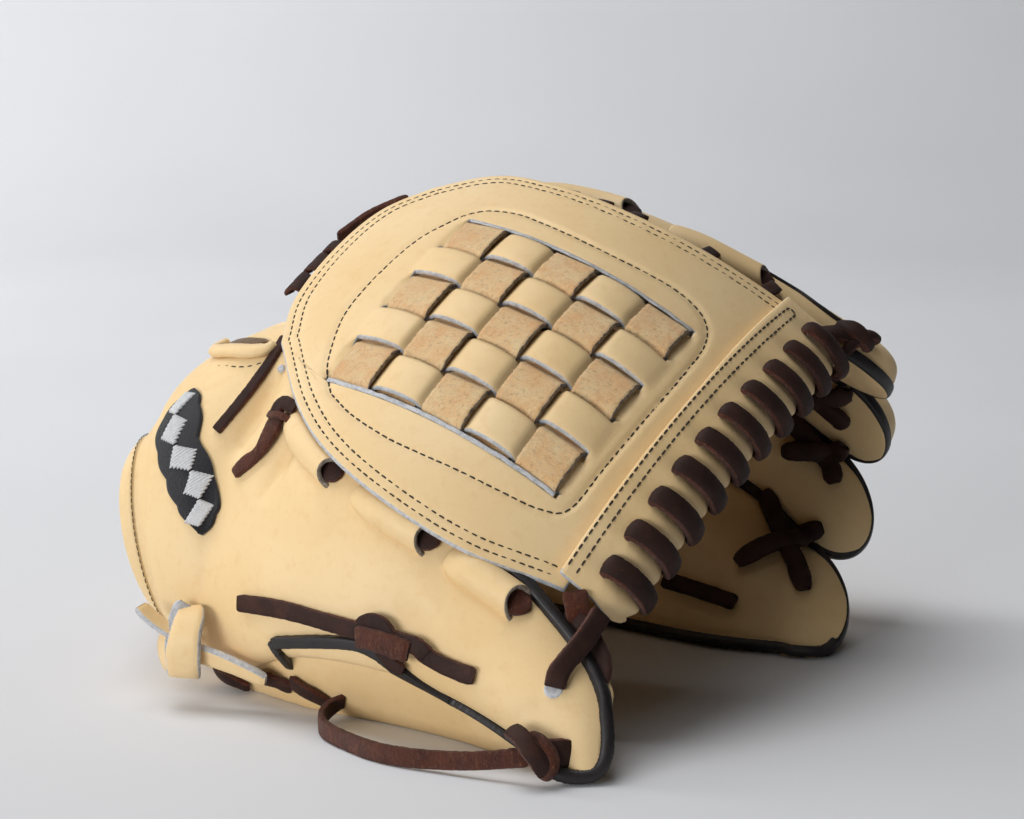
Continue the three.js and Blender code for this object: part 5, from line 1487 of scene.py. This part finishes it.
# ---- cream lace knotted at the wrist ----
creamLace = [cream, rimPale, suede]
strapParts = [
    lace([[-97, -80, 19], [-104, -79.5, 22.5], [-109, -78.6, 26], [-112.5, -77.4, 29.2]],
         [[0.3, -0.3, 1], [0.3, -0.3, 1], [0.4, -0.3, 1], [0.5, -0.3, 1]], 6.0, seed=110),
    marked(lace([[-98, -78, 22], [-99, -78.6, 26], [-96.5, -78.6, 30.4]],
                [[0.2, -1, 0.2], [0.2, -1, 0.1], [0.1, -1, 0]], 9.0, 1.6, seed=113), 1),
    lace([[-95, -83, 18.2], [-88, -86.5, 16.8], [-80, -89, 14.4], [-72.5, -91.5, 11.6]],
         [[0.1, -0.85, -0.35], [0.1, -0.85, -0.4], [0.1, -0.8, -0.5], [0.1, -0.8, -0.5]], 5.4, 2.6, seed=111,
         widths=[1.1, 1.05, 1, 0.7]),
    lace([[-96.5, -77, 27.6], [-96, -83, 27.6], [-96.8, -87, 23.6], [-97.6, -87.6, 18], [-98, -85.4, 12.8],
          [-98.6, -81, 10.8]],
         [[-0.1, -0.2, 1], [-0.1, -0.9, 0.9], [-0.3, -1, 0.3], [-0.3, -1, -0.3], [-0.1, -0.9, -0.8],
          [0, -0.4, -1]],
         9.4, 2.4, seed=112, widths=[0.6, 0.9, 1.05, 1.1, 1.05, 0.9]),
    lace([[-103, -78, 23], [-104, -80.4, 18], [-102.6, -81, 12.6], [-99.6, -80.4, 10.4]],
         [[-1, -0.6, 0.4], [-1, -0.6, 0], [-0.7, -0.6, -0.6], [-0.4, -0.6, -1]], 6.0, seed=114),
]
makePiece("strapLace", together(strapParts), creamLace, ["strap_lace"])
indexKnot = [
    lace([[97, -17.6, 101.4], [101, -18.6, 102.6], [105.4, -18.4, 102.2], [109, -17.8, 100.6]],
         [[-0.2, -1, 0.6], [0, -1, 0.8], [0.2, -1, 0.8], [0.3, -1, 0.7]], 5.0, 2.6, seed=120, dome=0.3),
    lace([[104, -15.6, 103.4], [107.4, -18.4, 103.6], [110.6, -18.6, 101.4], [112.6, -16.4, 98]],
         [[-0.3, 0, 1], [0, -0.6, 1], [0.5, -0.8, 0.6], [0.9, -0.6, 0.2]], 5.4, 2.8, seed=121, dome=0.3,
         widths=[0.7, 1, 1.05, 1, 0.8]),
    lace([[106, -19, 97.8], [109.6, -19.2, 100.6], [113.4, -16.6, 101], [115.8, -13.4, 99.4]],
         [[0, -1, 0], [0, -0.8, 0.7], [0.5, -0.5, 0.9], [0.9, -0.3, 0.6]], 4.4, 2.4, seed=122, dome=0.3,
         widths=[0.8, 1, 1, 0.7]),
]
makePiece("indexTipLace", together(indexKnot), darkLace, ["index_tip_lace"])

# ---- felt patch with a raised chain of diamonds ----
# columns of the thumb's grid, each with its first and last row
patchRows = np.array([[5.85, 6.0, 6.6], [5.6, 5.2, 6.85], [5.2, 4.7, 7.15], [4.7, 5.15, 7.5], [4.3, 5.7, 8.7],
                      [3.95, 6.2, 9.75], [3.6, 6.8, 9.6], [3.3, 7.7, 9.2]])
patchLook = {"rise": 1.3, "diamonds": 5, "threadsEach": 11, "threadRadius": 0.5, "thick": 1.3,
             "reach": 5.0, "slope": 0.25}


def patchSurface(t, k, lift):
    # t down the patch, k from -1 to 1 across it
    t, k = np.broadcast_arrays(np.asarray(t, float), np.asarray(k, float))
    r = curveAt(patchRows, t)
    return onSurface(thumbSurface, r[..., 1] + (r[..., 2] - r[..., 1]) * (k + 1) / 2, r[..., 0], lift)


def threadBar(a, b, up, radius):
    # one raised thread from a to b, with its ends sunk in the felt
    along = unit(b - a)
    side = np.cross(along, up)
    rings = []
    steps = [(0, 0.4, -0.7), (0.08, 0.9, -0.1), (0.3, 1, 0.12), (0.7, 1, 0.12), (0.92, 0.9, -0.1),
             (1, 0.4, -0.7)]
    for t, size, sink in steps:
        for k in range(6):
            q = math.pi / 3 * k
            rings.append(mix(a, b, t) + side * math.cos(q) * radius * size
                         + up * (math.sin(q) * radius * size + sink))
    faces = [[r * 6 + (k + 1) % 6, r * 6 + k, r * 6 + 6 + k, r * 6 + 6 + (k + 1) % 6]
             for r in range(5) for k in range(6)]
    faces += [[5, 4, 3, 2, 1, 0], [30, 31, 32, 33, 34, 35]]
    return np.array(rings), faces, [1] * len(faces)


def feltPatch():
    t = np.linspace(0, 1, 121)
    k = np.linspace(-1, 1, 33)
    gridT, gridK = np.meshgrid(t, k, indexing="ij")
    bites = 0.9 + 0.1 * np.abs(np.sin(math.pi * (patchLook["diamonds"] * gridT)))
    ends = np.sqrt(np.clip(1 - (np.abs(gridT - 0.5) / 0.5) ** 7, 0.08, 1))
    p, _ = patchSurface(gridT, gridK * bites * ends, patchLook["rise"])
    quads = gridQuads(*gridT.shape)
    parts = [marked(sheet(p.reshape(-1, 3), quads, patchLook["thick"]), 0)]
    # the chain follows the patch's middle, its threads all one way
    middle, up = patchSurface(t, 0 * t, patchLook["rise"] + 0.5)
    chainWay = unit(middle[-12] - middle[12])
    across = unit(np.cross(up.mean(0), chainWay))
    across = unit(across - patchLook["slope"] * chainWay)
    count, each = patchLook["diamonds"], patchLook["threadsEach"]
    for d in range(count):
        for m in range(each):
            u = (m + 0.5) / each * 2 - 1
            at = 0.05 + 0.9 * (d + 0.5 + u * 0.46) / count
            centre, n = curveAt(middle, at), unit(curveAt(up, at))
            flat = unit(across - n * (across * n).sum())
            reach = patchLook["reach"] * (1 - abs(u)) + 0.5
            drop = n * reach * reach / 110
            parts.append(threadBar(centre - flat * reach - drop, centre + flat * reach - drop, n,
                                   patchLook["threadRadius"]))
    return together(parts)


makePiece("patch", feltPatch(), [feltBlack, feltWhite, feltBlack], ["patch"])
print("stage: laces and patch done")

# ---- stitching ----
def webStitches(line, lift, **more):
    return stitchRun(onWeb(line[:, 0], line[:, 1], lift), np.broadcast_to(webUp, (len(line), 3)), **more)


threads += webStitches(curveAt(ovalStitch, np.linspace(0, 1, 600)), -0.66, length=2.5, radius=0.27)
for inset in edgeStitch:
    line = edgeLine(inset)
    threads += webStitches(line[line[:, 0] < 52], -0.42)
bandLine = np.array([[54.5, -53.5], [54.5, -20], [54.5, 20], [54.5, 50], [54.6, 72], [55.4, 74.2],
                     [56.6, 74.2],
                     [57.4, 72], [57.5, 50], [57.5, 20], [57.5, -20], [57.5, -54]])
threads += webStitches(curveAt(bandLine, np.linspace(0, 1, 700)), bandTop)
makePiece("stitching", together(threads), [thread], [])
print("stage: stitching done")


# ---- floor, light and camera ----
def backdrop():
    reach, depth, high, bend = 2.6, 1.6, 2.6, 0.6
    profile = [(-reach, 0.0), (depth - bend, 0.0)]
    for k in range(1, 13):
        q = math.pi / 2 * k / 12
        profile.append((depth - bend + bend * math.sin(q), bend - bend * math.cos(q)))
    profile.append((depth, high))
    points = [(x, y, z) for x in (-3.0, 3.0) for y, z in profile]
    n = len(profile)
    faces = [[k, n + k, n + k + 1, k + 1] for k in range(n - 1)]
    mesh = bpy.data.meshes.new("backdrop")
    mesh.from_pydata(points, [], faces)
    mesh.polygons.foreach_set("use_smooth", np.full(len(faces), True))
    cloth = bpy.data.objects.new("backdrop", mesh)
    bpy.context.scene.collection.objects.link(cloth)
    mesh.materials.append(nodeMaterial("pale paper"))


def areaLight(name, place, aim, size, power):
    data = bpy.data.lights.new(name, "AREA")
    data.shape = "RECTANGLE"
    data.size, data.size_y = size
    data.energy = power
    lamp = bpy.data.objects.new(name, data)
    lamp.location = place
    x, y, z = unit(np.array(aim) - np.array(place))
    lamp.rotation_euler = (math.acos(-z), 0.0, math.atan2(y, x) - math.pi / 2)
    bpy.context.scene.collection.objects.link(lamp)


lights = {
    "window": {"place": (-1.0, -1.2, 0.3), "aim": (0, 0, 0.05), "size": (0.9, 0.5), "power": 12.8},
    "side": {"place": (-1.4, -0.5, 0.6), "aim": (0, 0, 0.05), "size": (0.9, 0.9), "power": 1.5},
    "top": {"place": (-0.4, 0.12, 1.6), "aim": (0, 0, 0.05), "size": (1.0, 1.0), "power": 14.5},
    "front": {"place": (-0.3, -1.0, 1.5), "aim": (0, 0, 0.05), "size": (0.9, 0.9), "power": 2.6},
    "behind": {"place": (-1.3, 0.5, 1.0), "aim": (-0.2, 2.0, 0.7), "size": (0.8, 0.8), "power": 17},
}
backdrop()
for name, look in lights.items():
    areaLight(name, **look)
world = bpy.data.worlds.new("studio")
world.use_nodes = True
world.node_tree.nodes["Background"].inputs["Color"].default_value = (0.93, 0.95, 1, 1)
world.node_tree.nodes["Background"].inputs["Strength"].default_value = 0.005
bpy.context.scene.world = world
bpy.context.scene.view_settings.view_transform = "Standard"

cameraLook = {"place": (-0.00428, -0.7882, 0.2372), "tilt": 11.0, "lens": 91.4}
data = bpy.data.cameras.new("camera")
data.lens = cameraLook["lens"]
data.sensor_width = 36
camera = bpy.data.objects.new("camera", data)
camera.location = cameraLook["place"]
camera.rotation_euler = (math.radians(90 - cameraLook["tilt"]), 0, 0)
bpy.context.scene.collection.objects.link(camera)
bpy.context.scene.camera = camera

print("stage: done")
